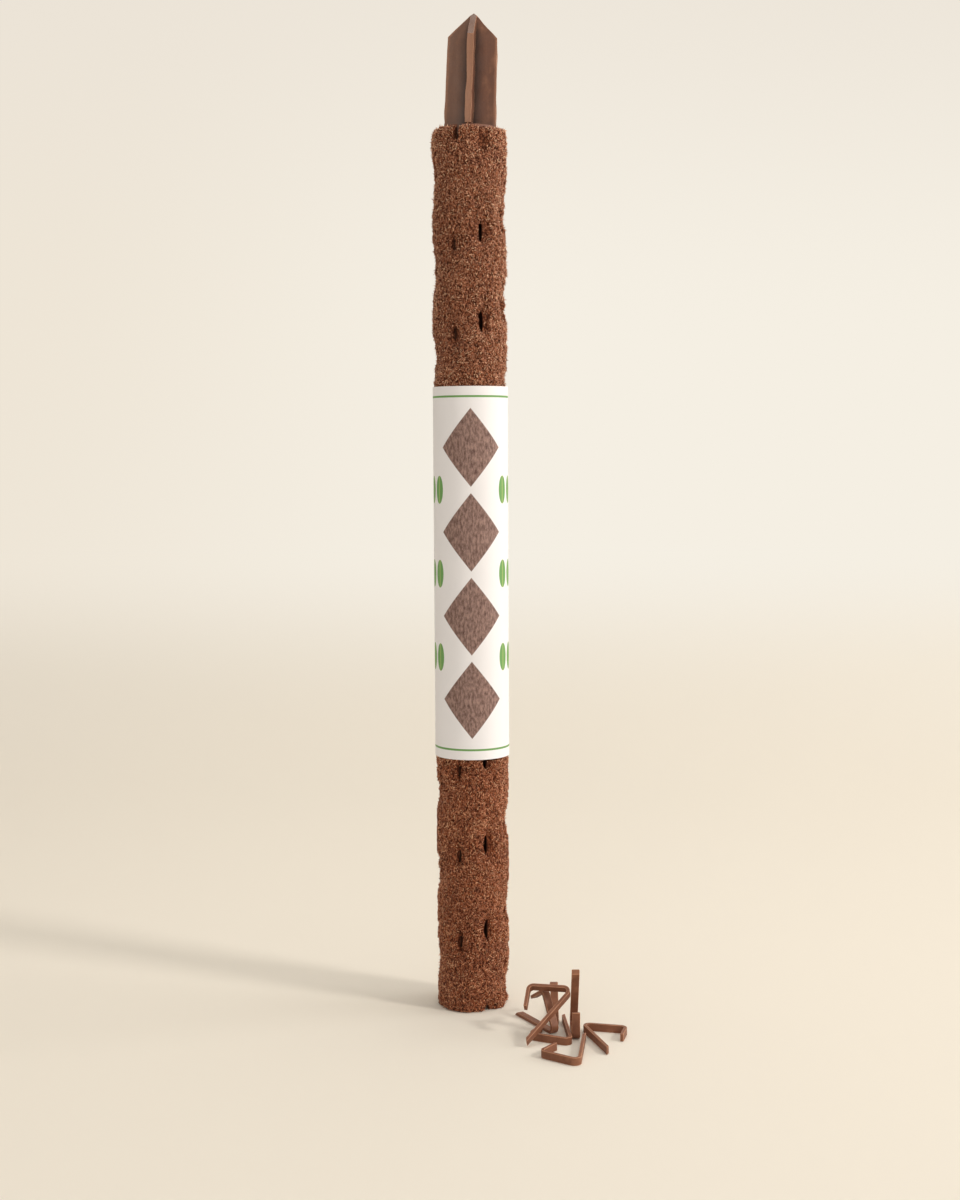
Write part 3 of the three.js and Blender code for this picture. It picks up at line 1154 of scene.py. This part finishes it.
@dataclass
class FibreTree:
    """Geometry nodes that strew coir strands over a surface."""

    kind: StrandSizes
    limit: float = 22.28 * MM
    free: Span = (382 * MM, 392 * MM)
    free_rise: float = 1.2 * MM
    floor_gap: float = 0.05 * MM
    steps: int = 2
    sides: int = 3
    bow: Triple = (0.0, 0.12, 0.22)
    slender: float = 0.12
    tapering: float = 1.4
    uneven: float = 0.2
    rim: Span = (512 * MM, 526 * MM)
    patch: float = 24 * MM
    patch_share: float = 0.4
    chance_share: float = 0.4
    pale_power: float = 4.0
    pale_share: float = 0.5
    rim_share: float = 0.2
    tint_chance: Span = (0.02, 0.98)
    most_roll: float = 0.9
    least_length: float = 0.45
    more_length: float = 1.35
    girths: Span = (0.6, 1.3)
    flatness: float = 0.8
    map_margin: float = 0.005
    tone_span: float = 0.98
    side_span: float = 0.01
    along_span: float = 0.49

    SIZES = ("Density", "Length", "Thickness", "Tilt", "Spread")

    @staticmethod
    def set_inputs(modifier: bpy.types.NodesModifier, values: dict[str, Any]) -> None:
        """Sets a modifier's inputs.

        Args:
            modifier: The modifier.
            values: Values by the inputs' names in the tree.
        """
        names = {i.name: i.identifier for i in modifier.node_group.interface.items_tree}
        for name, value in values.items():
            modifier[names[name]] = value

    def make(self, material: bpy.types.Material) -> bpy.types.NodeTree:
        """The tree.

        Args:
            material: Finish of the fibres.

        Returns:
            The node tree, with its sizes as inputs.
        """
        tree = bpy.data.node_groups.new("coir_fibres", "GeometryNodeTree")
        book = NodeBook(tree)
        tree.interface.new_socket("Geometry", in_out="OUTPUT", socket_type="NodeSocketGeometry")
        tree.interface.new_socket("Geometry", in_out="INPUT", socket_type="NodeSocketGeometry")
        for name in self.SIZES:
            tree.interface.new_socket(name, in_out="INPUT", socket_type="NodeSocketFloat")
        tree.interface.new_socket("Seed", in_out="INPUT", socket_type="NodeSocketInt")
        entry = tree.nodes.new("NodeGroupInput")
        given = {s.name: Link(book, s) for s in entry.outputs if s.name}
        strewn = self.strew(book, given)
        shaped = self.hold(book, strewn)
        mapped = self.mapped(book, shaped)
        smooth = book.add("GeometryNodeSetShadeSmooth", {}, {"Geometry": mapped, "Shade Smooth": True})
        worn = book.add("GeometryNodeSetMaterial", {}, {"Geometry": smooth, "Material": material})
        leaving = tree.nodes.new("NodeGroupOutput")
        tree.links.new(worn.socket, leaving.inputs[0])
        return tree

    def strand(self, book: NodeBook) -> Link:
        """One bent fibre along X, one unit long and thick.

        Args:
            book: The tree's book.

        Returns:
            The fibre, which carries its own places along and round it.
        """
        ends = {"Start": (-0.5, 0.0, 0.0), "Middle": self.bow, "End": (0.5, 0.0, 0.0)}
        line = book.add("GeometryNodeCurveQuadraticBezier", {}, {"Resolution": self.steps, **ends})
        along = book.add("GeometryNodeSplineParameter", {}, {}, "Factor")
        line = self.keep(book, line, "along", along)
        inputs = {"Resolution": self.sides, "Radius": 0.5}
        ring = book.add("GeometryNodeCurvePrimitiveCircle", {}, inputs, "Curve")
        ring = self.keep(book, ring, "side", book.add("GeometryNodeSplineParameter", {}, {}, "Factor"))
        taper = (1 - abs(along - 0.5) * self.tapering) * self.slender
        inputs = {"Curve": line, "Profile Curve": ring, "Scale": taper, "Fill Caps": True}
        return book.add("GeometryNodeCurveToMesh", {}, inputs)

    def crumb(self, book: NodeBook, seed: Link) -> Link:
        """One uneven lump along X, a unit across.

        Args:
            book: The tree's book.
            seed: The tree's seed.

        Returns:
            The lump, which carries its own places along and round it.
        """
        ball = book.add("GeometryNodeMeshUVSphere", {}, {"Segments": 4, "Rings": 2, "Radius": 0.5}, "Mesh")
        place = book.add("GeometryNodeInputPosition")
        ball = self.keep(book, ball, "along", place.part("Z") + 0.5)
        ball = self.keep(book, ball, "side", place.part("Y") + 0.5)
        inputs = {"Min": (-self.uneven,) * 3, "Max": (self.uneven,) * 3, "Seed": seed}
        shift = book.add("FunctionNodeRandomValue", {"data_type": "FLOAT_VECTOR"}, inputs, "Value")
        ball = book.add("GeometryNodeSetPosition", {}, {"Geometry": ball, "Offset": shift})
        inputs = {"Geometry": ball, "Rotation": (0.0, math.pi / 2, 0.0)}
        return book.add("GeometryNodeTransform", {}, inputs)

    @staticmethod
    def keep(book: NodeBook, geometry: Link, name: str, value: Link) -> Link:
        """Stores a value on each point of a geometry.

        Args:
            book: The tree's book.
            geometry: The geometry.
            name: Name of the value.
            value: The value.

        Returns:
            The geometry with the value.
        """
        settings = {"data_type": "FLOAT", "domain": Domain.POINT.value}
        inputs = {"Geometry": geometry, "Name": name, "Value": value}
        return book.add("GeometryNodeStoreNamedAttribute", settings, inputs)

    @staticmethod
    def kept(book: NodeBook, name: str) -> Link:
        """Reads a stored value."""
        settings = {"data_type": "FLOAT"}
        return book.add("GeometryNodeInputNamedAttribute", settings, {"Name": name}, "Attribute")

    @staticmethod
    def random(book: NodeBook, low: float, high: float, seed: Link, draw: Draw) -> Link:
        """A random number for each point."""
        inputs = {"Min_001": low, "Max_001": high, "Seed": seed + draw.value}
        return book.add("FunctionNodeRandomValue", {"data_type": "FLOAT"}, inputs, "Value_001")

    def strew(self, book: NodeBook, given: dict[str, Link]) -> Link:
        """Puts strands on the surface, turned, tilted and sized at random.

        Args:
            book: The tree's book.
            given: The tree's inputs by name.

        Returns:
            The strands as one mesh.
        """
        seed = given["Seed"]
        inputs = {
            "Mesh": given["Geometry"],
            "Selection": self.kept(book, "skin"),
            "Density": given["Density"],
            "Seed": seed,
        }
        spots = book.add("GeometryNodeDistributePointsOnFaces", {}, inputs, "Points")
        normal = Link(book, spots.socket.node.outputs["Normal"])
        height = book.add("GeometryNodeInputPosition").part("Z")
        rim = height.ramp(*self.rim)
        spots = self.keep(book, spots, "tone", self.tone(book, seed, rim))
        # Strands near the open end go to the map's lower half, which carries painted warm bounce light from
        # the floor
        chance = self.random(book, *self.tint_chance, seed, Draw.TINT)
        spots = self.keep(book, spots, "upper", height.ramp(*PAINTED_BOUNCE_SPAN).maths("GREATER_THAN", chance))
        inputs = {
            "Points": spots,
            "Instance": self.strand(book) if self.kind.bent else self.crumb(book, seed),
            "Rotation": self.turn(book, given, normal, rim),
            "Scale": self.scale(book, given),
        }
        placed = book.add("GeometryNodeInstanceOnPoints", {}, inputs)
        return book.add("GeometryNodeRealizeInstances", {}, {"Geometry": placed})

    def tone(self, book: NodeBook, seed: Link, rim: Link) -> Link:
        """How pale each strand is.

        Args:
            book: The tree's book.
            seed: The tree's seed.
            rim: How near the strand is to the rim, from 0 to 1.

        Returns:
            The tone from 0 to 1, by chance, with a few much paler strands, and by patches of the coir.
        """
        patches = book.grain(book.add("GeometryNodeInputPosition"), self.patch, detail=2)
        chance = self.random(book, -1.0, 1.0, seed, Draw.TONE)
        pale = chance.most(0.0) ** self.pale_power * self.pale_share
        tone = chance * self.chance_share + pale + (patches - 0.5) * self.patch_share
        tone = tone + rim * self.rim_share + self.kind.paleness
        return tone.most(0.0).least(1.0)

    def turn(self, book: NodeBook, given: dict[str, Link], normal: Link, rim: Link) -> Link:
        """How each strand is turned.

        Args:
            book: The tree's book.
            given: The tree's inputs by name.
            normal: The way out of the surface.
            rim: How near the strand is to the rim, from 0 to 1. It leans out more there.

        Returns:
            The turn.
        """
        seed = given["Seed"]
        stray = self.random(book, -1.0, 1.0, seed, Draw.SPIN)
        spin = stray * abs(stray) * given["Spread"]
        lean = self.random(book, -1.0, 1.0, seed, Draw.LEAN) * given["Tilt"] * (rim + 1)
        roll = self.random(book, -self.most_roll, self.most_roll, seed, Draw.ROLL)
        own = book.add("ShaderNodeCombineXYZ", {}, {"X": roll, "Y": lean, "Z": spin})
        own = book.add("FunctionNodeEulerToRotation", {}, {"Euler": own})
        inputs = {"Rotation": self.upright(book, normal), "Rotate By": own}
        return book.add("FunctionNodeRotateRotation", {"rotation_space": "LOCAL"}, inputs)

    def scale(self, book: NodeBook, given: dict[str, Link]) -> Link:
        """How long and thick each strand is.

        Args:
            book: The tree's book.
            given: The tree's inputs by name.

        Returns:
            The scale along, across and out of the surface.
        """
        stretch = self.random(book, 0.0, 1.0, given["Seed"], Draw.LENGTH)
        long = given["Length"] * (stretch * stretch * self.more_length + self.least_length)
        long = long * self.kept(book, "reach")
        girth = self.slender if self.kind.bent else 1.0
        thick = given["Thickness"] * self.random(book, *self.girths, given["Seed"], Draw.GIRTH) / girth
        return book.add("ShaderNodeCombineXYZ", {}, {"X": long, "Y": thick, "Z": thick * self.flatness})

    @staticmethod
    def upright(book: NodeBook, normal: Link) -> Link:
        """A turn that points Z out of the surface and X as far upwards as that leaves it.

        Args:
            book: The tree's book.
            normal: The way out of the surface.

        Returns:
            The turn.
        """
        settings = {"axis": "Z", "pivot_axis": "AUTO"}
        out = book.add("FunctionNodeAlignRotationToVector", settings, {"Vector": normal})
        settings = {"axis": "X", "pivot_axis": "Z"}
        inputs = {"Rotation": out, "Vector": (0.0, 0.0, 1.0)}
        return book.add("FunctionNodeAlignRotationToVector", settings, inputs)

    def hold(self, book: NodeBook, geometry: Link) -> Link:
        """Presses the strands in to the room under the paper band, and keeps them above the floor.

        Args:
            book: The tree's book.
            geometry: The strands.

        Returns:
            The strands in that room, which is wider above the stretch that the band slides over.
        """
        place = book.add("GeometryNodeInputPosition")
        x, y, z = (place.part(axis) for axis in "XYZ")
        out = (x * x + y * y) ** 0.5
        edge = z.ramp(*self.free) * self.free_rise + self.limit
        share = (edge / out).least(1.0)
        inputs = {"X": x * share, "Y": y * share, "Z": z.most(self.floor_gap)}
        held = book.add("ShaderNodeCombineXYZ", {}, inputs)
        return book.add("GeometryNodeSetPosition", {}, {"Geometry": geometry, "Position": held})

    def mapped(self, book: NodeBook, geometry: Link) -> Link:
        """Gives the strands their bake map: tone across, and place along the strand up.

        Args:
            book: The tree's book.
            geometry: The strands with their marks.

        Returns:
            The strands without their marks. The lower half of the map is for those near the open end, which
            carry painted warm bounce light from the floor.
        """
        tone = self.kept(book, "tone") * self.tone_span + self.kept(book, "side") * self.side_span
        along = self.kept(book, "along") * self.along_span + self.kept(book, "upper") * 0.5
        inputs = {"X": tone + self.map_margin, "Y": along + self.map_margin}
        spot = book.add("ShaderNodeCombineXYZ", {}, inputs)
        settings = {"data_type": "FLOAT2", "domain": "CORNER"}
        inputs = {"Geometry": geometry, "Name": BAKE_MAP, "Value": spot}
        geometry = book.add("GeometryNodeStoreNamedAttribute", settings, inputs)
        for name in ("tone", "upper", "side", "along", "reach", "skin"):
            geometry = book.add("GeometryNodeRemoveAttribute", {}, {"Geometry": geometry, "Name": name})
        return geometry


@dataclass
class SoftEdged:
    """A rigid CAD node made again with rounded, slightly wandering edges.

    With an axis, the piece also carries how far out each point is from it, as a share of the outline there.
    """

    edge: float = 0.35 * MM
    edge_steps: int = 3
    merged: float = 1e-6
    flat: float = math.radians(1)
    sharp: float = math.radians(40)
    wander: float = 0.12 * MM
    wander_length: float = 9 * MM
    wander_from: float = 0.0
    ring_gap: float = 0.0
    axis: Optional[Vector] = None
    outline_gap: float = 0.8 * MM
    least_outline: float = 1 * MM
    least_upturn: float = 0.3

    def build(
        self,
        node: str,
        name: str,
        material: bpy.types.Material,
        move: Optional[Matrix] = None,
    ) -> bpy.types.Object:
        """The piece.

        Args:
            node: The CAD node that it follows.
            name: Name of the piece.
            material: Its finish.
            move: Where a copy of the node's shape goes, for a piece that no node stands for.

        Returns:
            The new object.
        """
        shape = bmesh.new()
        shape.from_mesh(frame["nodes"][node].data)
        if move:
            shape.transform(move)
        bmesh.ops.remove_doubles(shape, verts=shape.verts, dist=self.merged)
        bmesh.ops.dissolve_limit(shape, angle_limit=self.flat, verts=shape.verts, edges=shape.edges)
        if self.ring_gap:
            self.cut_rings(shape)
        point = max((v.co for v in shape.verts), key=lambda place: place.z).copy()
        self.soften(shape)
        if self.axis:
            self.mark_reach(shape, point)
        mesh = bpy.data.meshes.new(name)
        shape.to_mesh(mesh)
        shape.free()
        mesh.shade_smooth()
        rough = mesh_object(name + "_rough", mesh)
        rough.modifiers.new("even_shading", "WEIGHTED_NORMAL").keep_sharp = False
        return dressed(settled(rough, name), material)

    def cut_rings(self, shape: bmesh.types.BMesh) -> None:
        """Cuts the shape across its height at even steps, so that its edges can wander.

        Args:
            shape: The shape, which is changed.
        """
        heights = [v.co.z for v in shape.verts]
        for level in np.arange(min(heights) + self.ring_gap, max(heights), self.ring_gap):
            geometry = [*shape.verts, *shape.edges, *shape.faces]
            bmesh.ops.bisect_plane(shape, geom=geometry, plane_co=(0, 0, level), plane_no=(0, 0, 1))

    def soften(self, shape: bmesh.types.BMesh) -> None:
        """Lets the edges wander, rounds them and marks them as worn.

        Args:
            shape: The shape, which is changed.
        """
        worn = shape.faces.layers.float.new("wear")
        for vert in shape.verts:
            if vert.co.z >= self.wander_from:
                vert.co += noise.noise_vector(vert.co / self.wander_length) * self.wander
        edges = [e for e in shape.edges if e.is_manifold and e.calc_face_angle() > self.sharp]
        made = bmesh.ops.bevel(
            shape,
            geom=edges,
            offset=self.edge,
            segments=self.edge_steps,
            profile=0.5,
            affect="EDGES",
            clamp_overlap=True,
        )
        for face in made["faces"]:
            face[worn] = 1.0

    def mark_reach(self, shape: bmesh.types.BMesh, point: Vector) -> None:
        """Marks how far out each point is from the axis, and which faces look along it.

        Args:
            shape: The shape, which gets the marks.
            point: A point on the axis.
        """
        upturned = shape.faces.layers.float.new("upturned")
        reach = shape.verts.layers.float.new("reach")
        along = np.array([(v.co - point).dot(self.axis) for v in shape.verts])
        out = np.array([(v.co - point).cross(self.axis).length for v in shape.verts])
        for vert, here, far in zip(shape.verts, along, out):
            outline = out[np.abs(along - here) < self.outline_gap].max()
            vert[reach] = far / max(outline, self.least_outline)
        for face in shape.faces:
            face[upturned] = float(face.normal.dot(self.axis) > self.least_upturn)


@dataclass
class PaperBand:
    """The printed paper band: one turn of paper with a glued lap at the back."""

    inner: float = 22.34 * MM
    paper: float = 0.22 * MM
    lap: float = 16 * MM
    lap_rise: Span = (14 * MM, 2 * MM)
    glue: float = 0.08 * MM
    lift: float = 0.12 * MM
    lift_length: float = 5 * MM
    edge_wave: float = 0.14 * MM
    edge_wave_length: float = 26 * MM
    edge_depth: float = 14 * MM
    steps_round: int = 260
    steps_up: int = 72
    plain_margin: Span = (0.003, 0.02)
    rim_inset: float = 0.01
    sharp: float = math.radians(50)

    def build(self) -> bpy.types.Object:
        """The band.

        Returns:
            The band, dressed and riding on its body.
        """
        low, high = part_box("paper_band")
        height = high.z - low.z
        turn = 2 * math.pi * self.inner
        length = turn + self.lap
        along = np.linspace(0, length, self.steps_round + 1)
        up = np.linspace(0, height, self.steps_up + 1)
        run, rise = np.meshgrid(along, up)
        azimuth = math.pi + (run - self.lap / 2) / self.inner
        rise_from, rise_to = (turn - before for before in self.lap_rise)
        over = (self.paper + self.glue) * ease(rise_from, rise_to, run)
        loose = self.lift * ease(length - self.lift_length, length, run)
        flat = around(self.inner, azimuth, rise).reshape(-1, 3)
        wave = 0.5 + 0.5 * unevenness(flat, self.edge_wave_length, 5.0).reshape(run.shape)
        end = np.maximum(1 - ease(0, self.edge_depth, rise), ease(height - self.edge_depth, height, rise))
        radius = self.inner + over + loose + wave * (0.25 + 0.75 * end) * self.edge_wave
        inside = around(radius, azimuth, low.z + rise).reshape(-1, 3)
        outside = around(radius + self.paper, azimuth, low.z + rise).reshape(-1, 3)
        mesh = self.sheet(inside, outside, run / length, rise / height)
        band = mesh_object("printed_band", mesh)
        dressed(band, PrintedPaper().make(length, height))
        return join_frame(band, Body.BAND.value, Slot.BAND, "paper_band")

    def sheet(
        self,
        inside: np.ndarray,
        outside: np.ndarray,
        u: np.ndarray,
        v: np.ndarray,
    ) -> bpy.types.Mesh:
        """A closed sheet of paper from the points of its two sides.

        Args:
            inside, outside: Points of the two sides, row by row.
            u, v: Place of each point on the flat sheet, from 0 to 1, by row and column.

        Returns:
            The mesh, with the flat sheet as its map. Its inner side lies in the plain margin of the map.
        """
        rows, columns = u.shape
        count = rows * columns
        number = np.arange(count).reshape(rows, columns)
        a, b = number[:-1, :-1].ravel(), number[:-1, 1:].ravel()
        c, d = number[1:, 1:].ravel(), number[1:, :-1].ravel()
        faces = [*zip(a + count, b + count, c + count, d + count), *zip(d, c, b, a)]
        rim = [*number[0, :-1], *number[:-1, -1], *number[-1, :0:-1], *number[:0:-1, 0]]
        faces += [(m, n, n + count, m + count) for m, n in zip(rim, rim[1:] + rim[:1])]
        points = np.concatenate([inside, outside]).tolist()
        mesh = bpy.data.meshes.new("printed_band")
        mesh.from_pydata(points, [], [tuple(map(int, f)) for f in faces])
        corners = np.zeros(len(mesh.loops), np.int32)
        mesh.loops.foreach_get("vertex_index", corners)
        spots = np.stack([u.ravel(), v.ravel()], axis=1)[corners % count]
        side = len(a) * 4
        low, room = self.plain_margin
        spots[side : 2 * side, 1] = low + room * spots[side : 2 * side, 1]
        on_rim = (np.arange(len(corners)) >= 2 * side) & (corners < count)
        spots[on_rim] += (0.5 - spots[on_rim]) * self.rim_inset
        layer = mesh.uv_layers.new(name=BAKE_MAP)
        layer.data.foreach_set("uv", spots.astype(np.float32).ravel())
        mesh.shade_smooth()
        mesh.set_sharp_from_angle(angle=self.sharp)
        return mesh


@dataclass(frozen=True)
class LeaningClip:
    """One more clip of the heap, a copy of a flat one that leans on its neighbours.

    Its base is its highest line, and its legs come down from there towards the front.
    """

    copied: str = "clip_3"
    carrier: str = "clip_4"
    tip_angle: float = math.radians(60)
    flat_corner: Triple = (55.8 * MM, -82.4 * MM, 2.3 * MM)
    flat_turn: float = math.radians(93)
    corner: Triple = (58.0 * MM, -57.95 * MM, 25.87 * MM)
    turn: float = math.radians(-12.45)
    tilt: float = math.radians(37.2)

    def move(self) -> Matrix:
        """The move from the flat clip's place to this one's.

        Returns:
            The move, which levels the flat clip, turns it over and leans it.
        """
        level = Matrix.Rotation(math.pi - self.tip_angle - self.flat_turn, 4, "Z")
        leaning = Matrix.Rotation(self.turn, 4, "Z") @ Matrix.Rotation(math.pi + self.tilt, 4, "X")
        back = Matrix.Translation(-Vector(self.flat_corner))
        return Matrix.Translation(self.corner) @ leaning @ level @ back


@dataclass
class CoreTube:
    """The moulded tube, whose CAD node stays."""

    finish: MouldedPlastic = MouldedPlastic(
        "tube_plastic", seen(126, 84, 66), seen(110, 72, 56), seen(160, 114, 90), roughness=0.6
    )

    def build(self) -> bpy.types.Object:
        """The tube.

        Returns:
            The CAD node, dressed.
        """
        tube = dressed(frame["nodes"]["core_tube"], self.finish.make())
        LOG.info("%s stays as it is, %d faces", tube.name, len(tube.data.polygons))
        return tube


@dataclass
class GroundSpike:
    """The finned ground spike, with wavy edges where it stands out of the tube."""

    edge: float = 0.4 * MM
    wander: float = 0.6 * MM
    wander_length: float = 8 * MM
    wander_above: float = 2 * MM
    ring_gap: float = 3 * MM
    finish: MouldedPlastic = MouldedPlastic(
        "spike_plastic",
        seen(102, 64, 46),
        seen(116, 77, 58),
        seen(178, 130, 102),
        roughness=0.44,
        # Painted shade near the middle and a painted grey sheen on the side towards -X
        core_shade=seen(62, 36, 25),
        painted_sheen=seen(130, 97, 80),
    )

    def build(self) -> bpy.types.Object:
        """The spike.

        Returns:
            The spike, dressed and riding on its body.
        """
        joint = next(j for j in frame["record"]["behaviour"]["joints"] if j["child"] == Body.SPIKE.value)
        soft = SoftEdged(
            edge=self.edge,
            wander=self.wander,
            wander_length=self.wander_length,
            wander_from=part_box("core_tube")[1].z + self.wander_above,
            ring_gap=self.ring_gap,
            axis=Vector(joint["axis"]).normalized(),
        )
        spike = soft.build("ground_spike", "finned_spike", self.finish.make())
        return join_frame(spike, Body.SPIKE.value, Slot.SPIKE, "ground_spike")


@dataclass
class PlantClips:
    """The loose plant clips, and the one that leans on them."""

    edge: float = 0.32 * MM
    wander: float = 0.06 * MM
    leaning: LeaningClip = LeaningClip()
    finish: MouldedPlastic = MouldedPlastic(
        "clip_plastic",
        seen(132, 85, 61),
        seen(116, 72, 51),
        seen(178, 128, 98),
        roughness=0.55,
        along=(0.5, 0.5, 0.5),
    )

    def build(self) -> list[bpy.types.Object]:
        """The clips.

        Returns:
            The clips, dressed, each on its own body but for the leaning one.
        """
        material = self.finish.make()
        soft = SoftEdged(edge=self.edge, wander=self.wander)
        made = []
        for body, nodes in frame["record"]["behaviour"]["bodies"].items():
            for node in nodes:
                if node.startswith("clip_"):
                    piece = soft.build(node, "bent_" + node, material)
                    made.append(join_frame(piece, body, Slot.CLIP, node))
                if node == self.leaning.carrier:
                    piece = soft.build(self.leaning.copied, "leaning_clip", material, self.leaning.move())
                    made.append(join_frame(piece, body, Slot.CLIP))
        return made


@dataclass(frozen=True)
class Lamp:
    """A square soft lamp that looks at the middle of the pole."""

    name: str
    place: Triple
    size: float
    watts: float
    colour: Colour
    aim: Triple = (0.0, 0.0, 0.25)

    def hang(self) -> None:
        """Puts the lamp in the scene, unseen by the camera."""
        data = bpy.data.lights.new(self.name, "AREA")
        data.size = self.size
        data.energy = self.watts
        data.color = self.colour
        made = bpy.data.objects.new(self.name, data)
        bpy.context.scene.collection.objects.link(made)
        made.location = self.place
        ahead = Vector(self.aim) - Vector(self.place)
        made.rotation_euler = ahead.to_track_quat("-Z", "Y").to_euler()
        made.visible_camera = False


@dataclass
class Studio:
    """The pale sweep, the lamps and the camera."""

    lamps: tuple[Lamp, ...] = (
        Lamp("key", (2.5, -1.28, 1.93), 0.46, 40, seen(255, 248, 239)),
        Lamp("side_window", (4.6, 0.2, 1.4), 2.6, 78, seen(255, 250, 245)),
        Lamp("front_fill", (-0.3, -2.45, 0.8), 1.4, 10, seen(255, 249, 242)),
        Lamp("overhead", (0.3, 0.3, 2.5), 2.0, 23, seen(255, 251, 246)),
    )
    ambient: Colour = (1.0, 0.92, 0.83)
    ambient_strength: float = 0.365
    beyond: Colour = seen(240, 232, 218)
    sweep_start: float = 0.62
    sweep_radius: float = 1.7
    sweep_width: float = 7.0
    sweep_front: float = -5.0
    sweep_top: float = 3.2
    arc_steps: int = 40
    camera_place: Triple = (0.0, -1.0646, 0.3405)
    camera_pitch: float = math.radians(4.85)
    camera_yaw: float = math.radians(0.278)
    camera_roll: float = math.radians(-0.311)
    camera_lens: float = 52.72
    camera_sensor: float = 36.0

    def build(self) -> None:
        """The whole setting."""
        bpy.context.scene.view_settings.view_transform = "Standard"
        self.sweep()
        self.world()
        for lamp in self.lamps:
            lamp.hang()
        self.camera()

    def sweep(self) -> None:
        """Floor that curves up behind the object."""
        bend = np.linspace(0, math.pi / 2, self.arc_steps + 1)
        run = [self.sweep_front, *(self.sweep_start + self.sweep_radius * np.sin(bend))]
        rise = [0.0, *(self.sweep_radius * (1 - np.cos(bend)))]
        run.append(run[-1])
        rise.append(self.sweep_top)
        points = [(side * self.sweep_width, y, z) for y, z in zip(run, rise) for side in (-1, 1)]
        faces = [(2 * n, 2 * n + 1, 2 * n + 3, 2 * n + 2) for n in range(len(run) - 1)]
        mesh = bpy.data.meshes.new("studio_sweep")
        mesh.from_pydata(points, [], faces)
        mesh.shade_smooth()
        floor = dressed(mesh_object("studio_sweep", mesh), StudioPaper().make())

    def world(self) -> None:
        """Soft even light, and the sweep's own tone where a look goes past it."""
        world = bpy.data.worlds.new("studio")
        world.use_nodes = True
        bpy.context.scene.world = world
        book = NodeBook(world.node_tree)
        inputs = {"Color": (*self.ambient, 1.0), "Strength": self.ambient_strength}
        lit = book.add("ShaderNodeBackground", {}, inputs)
        shown = book.add("ShaderNodeBackground", {}, {"Color": (*self.beyond, 1.0), "Strength": 1.0})
        inputs = {"Fac": book.looked_at(), "Shader": lit, "Shader_001": shown}
        book.add("ShaderNodeOutputWorld", {}, {"Surface": book.add("ShaderNodeMixShader", {}, inputs)})

    def camera(self) -> None:
        """The camera at the photograph's place and angle."""
        pitch, yaw, roll = self.camera_pitch, self.camera_yaw, self.camera_roll
        ahead = Vector((math.sin(yaw) * math.cos(pitch), math.cos(yaw) * math.cos(pitch), -math.sin(pitch)))
        level = Vector((math.cos(yaw), -math.sin(yaw), 0))
        upright = level.cross(ahead)
        right = math.cos(roll) * level + math.sin(roll) * upright
        above = -math.sin(roll) * level + math.cos(roll) * upright
        data = bpy.data.cameras.new("camera")
        data.lens = self.camera_lens
        data.sensor_width = self.camera_sensor
        made = bpy.data.objects.new("camera", data)
        bpy.context.scene.collection.objects.link(made)
        axes = Matrix((right, above, -ahead)).transposed()
        made.matrix_world = Matrix.Translation(self.camera_place) @ axes.to_4x4()
        bpy.context.scene.camera = made


def main() -> None:
    """Builds the setting and every piece of the object."""
    logging.basicConfig(level=logging.INFO, format="%(name)s: %(message)s")
    noise.seed_set(NOISE_SEED)
    for part in (Studio(), CoirSleeve(), PaperBand(), CoreTube(), GroundSpike(), PlantClips()):
        part.build()


if __name__ == "__main__":
    main()
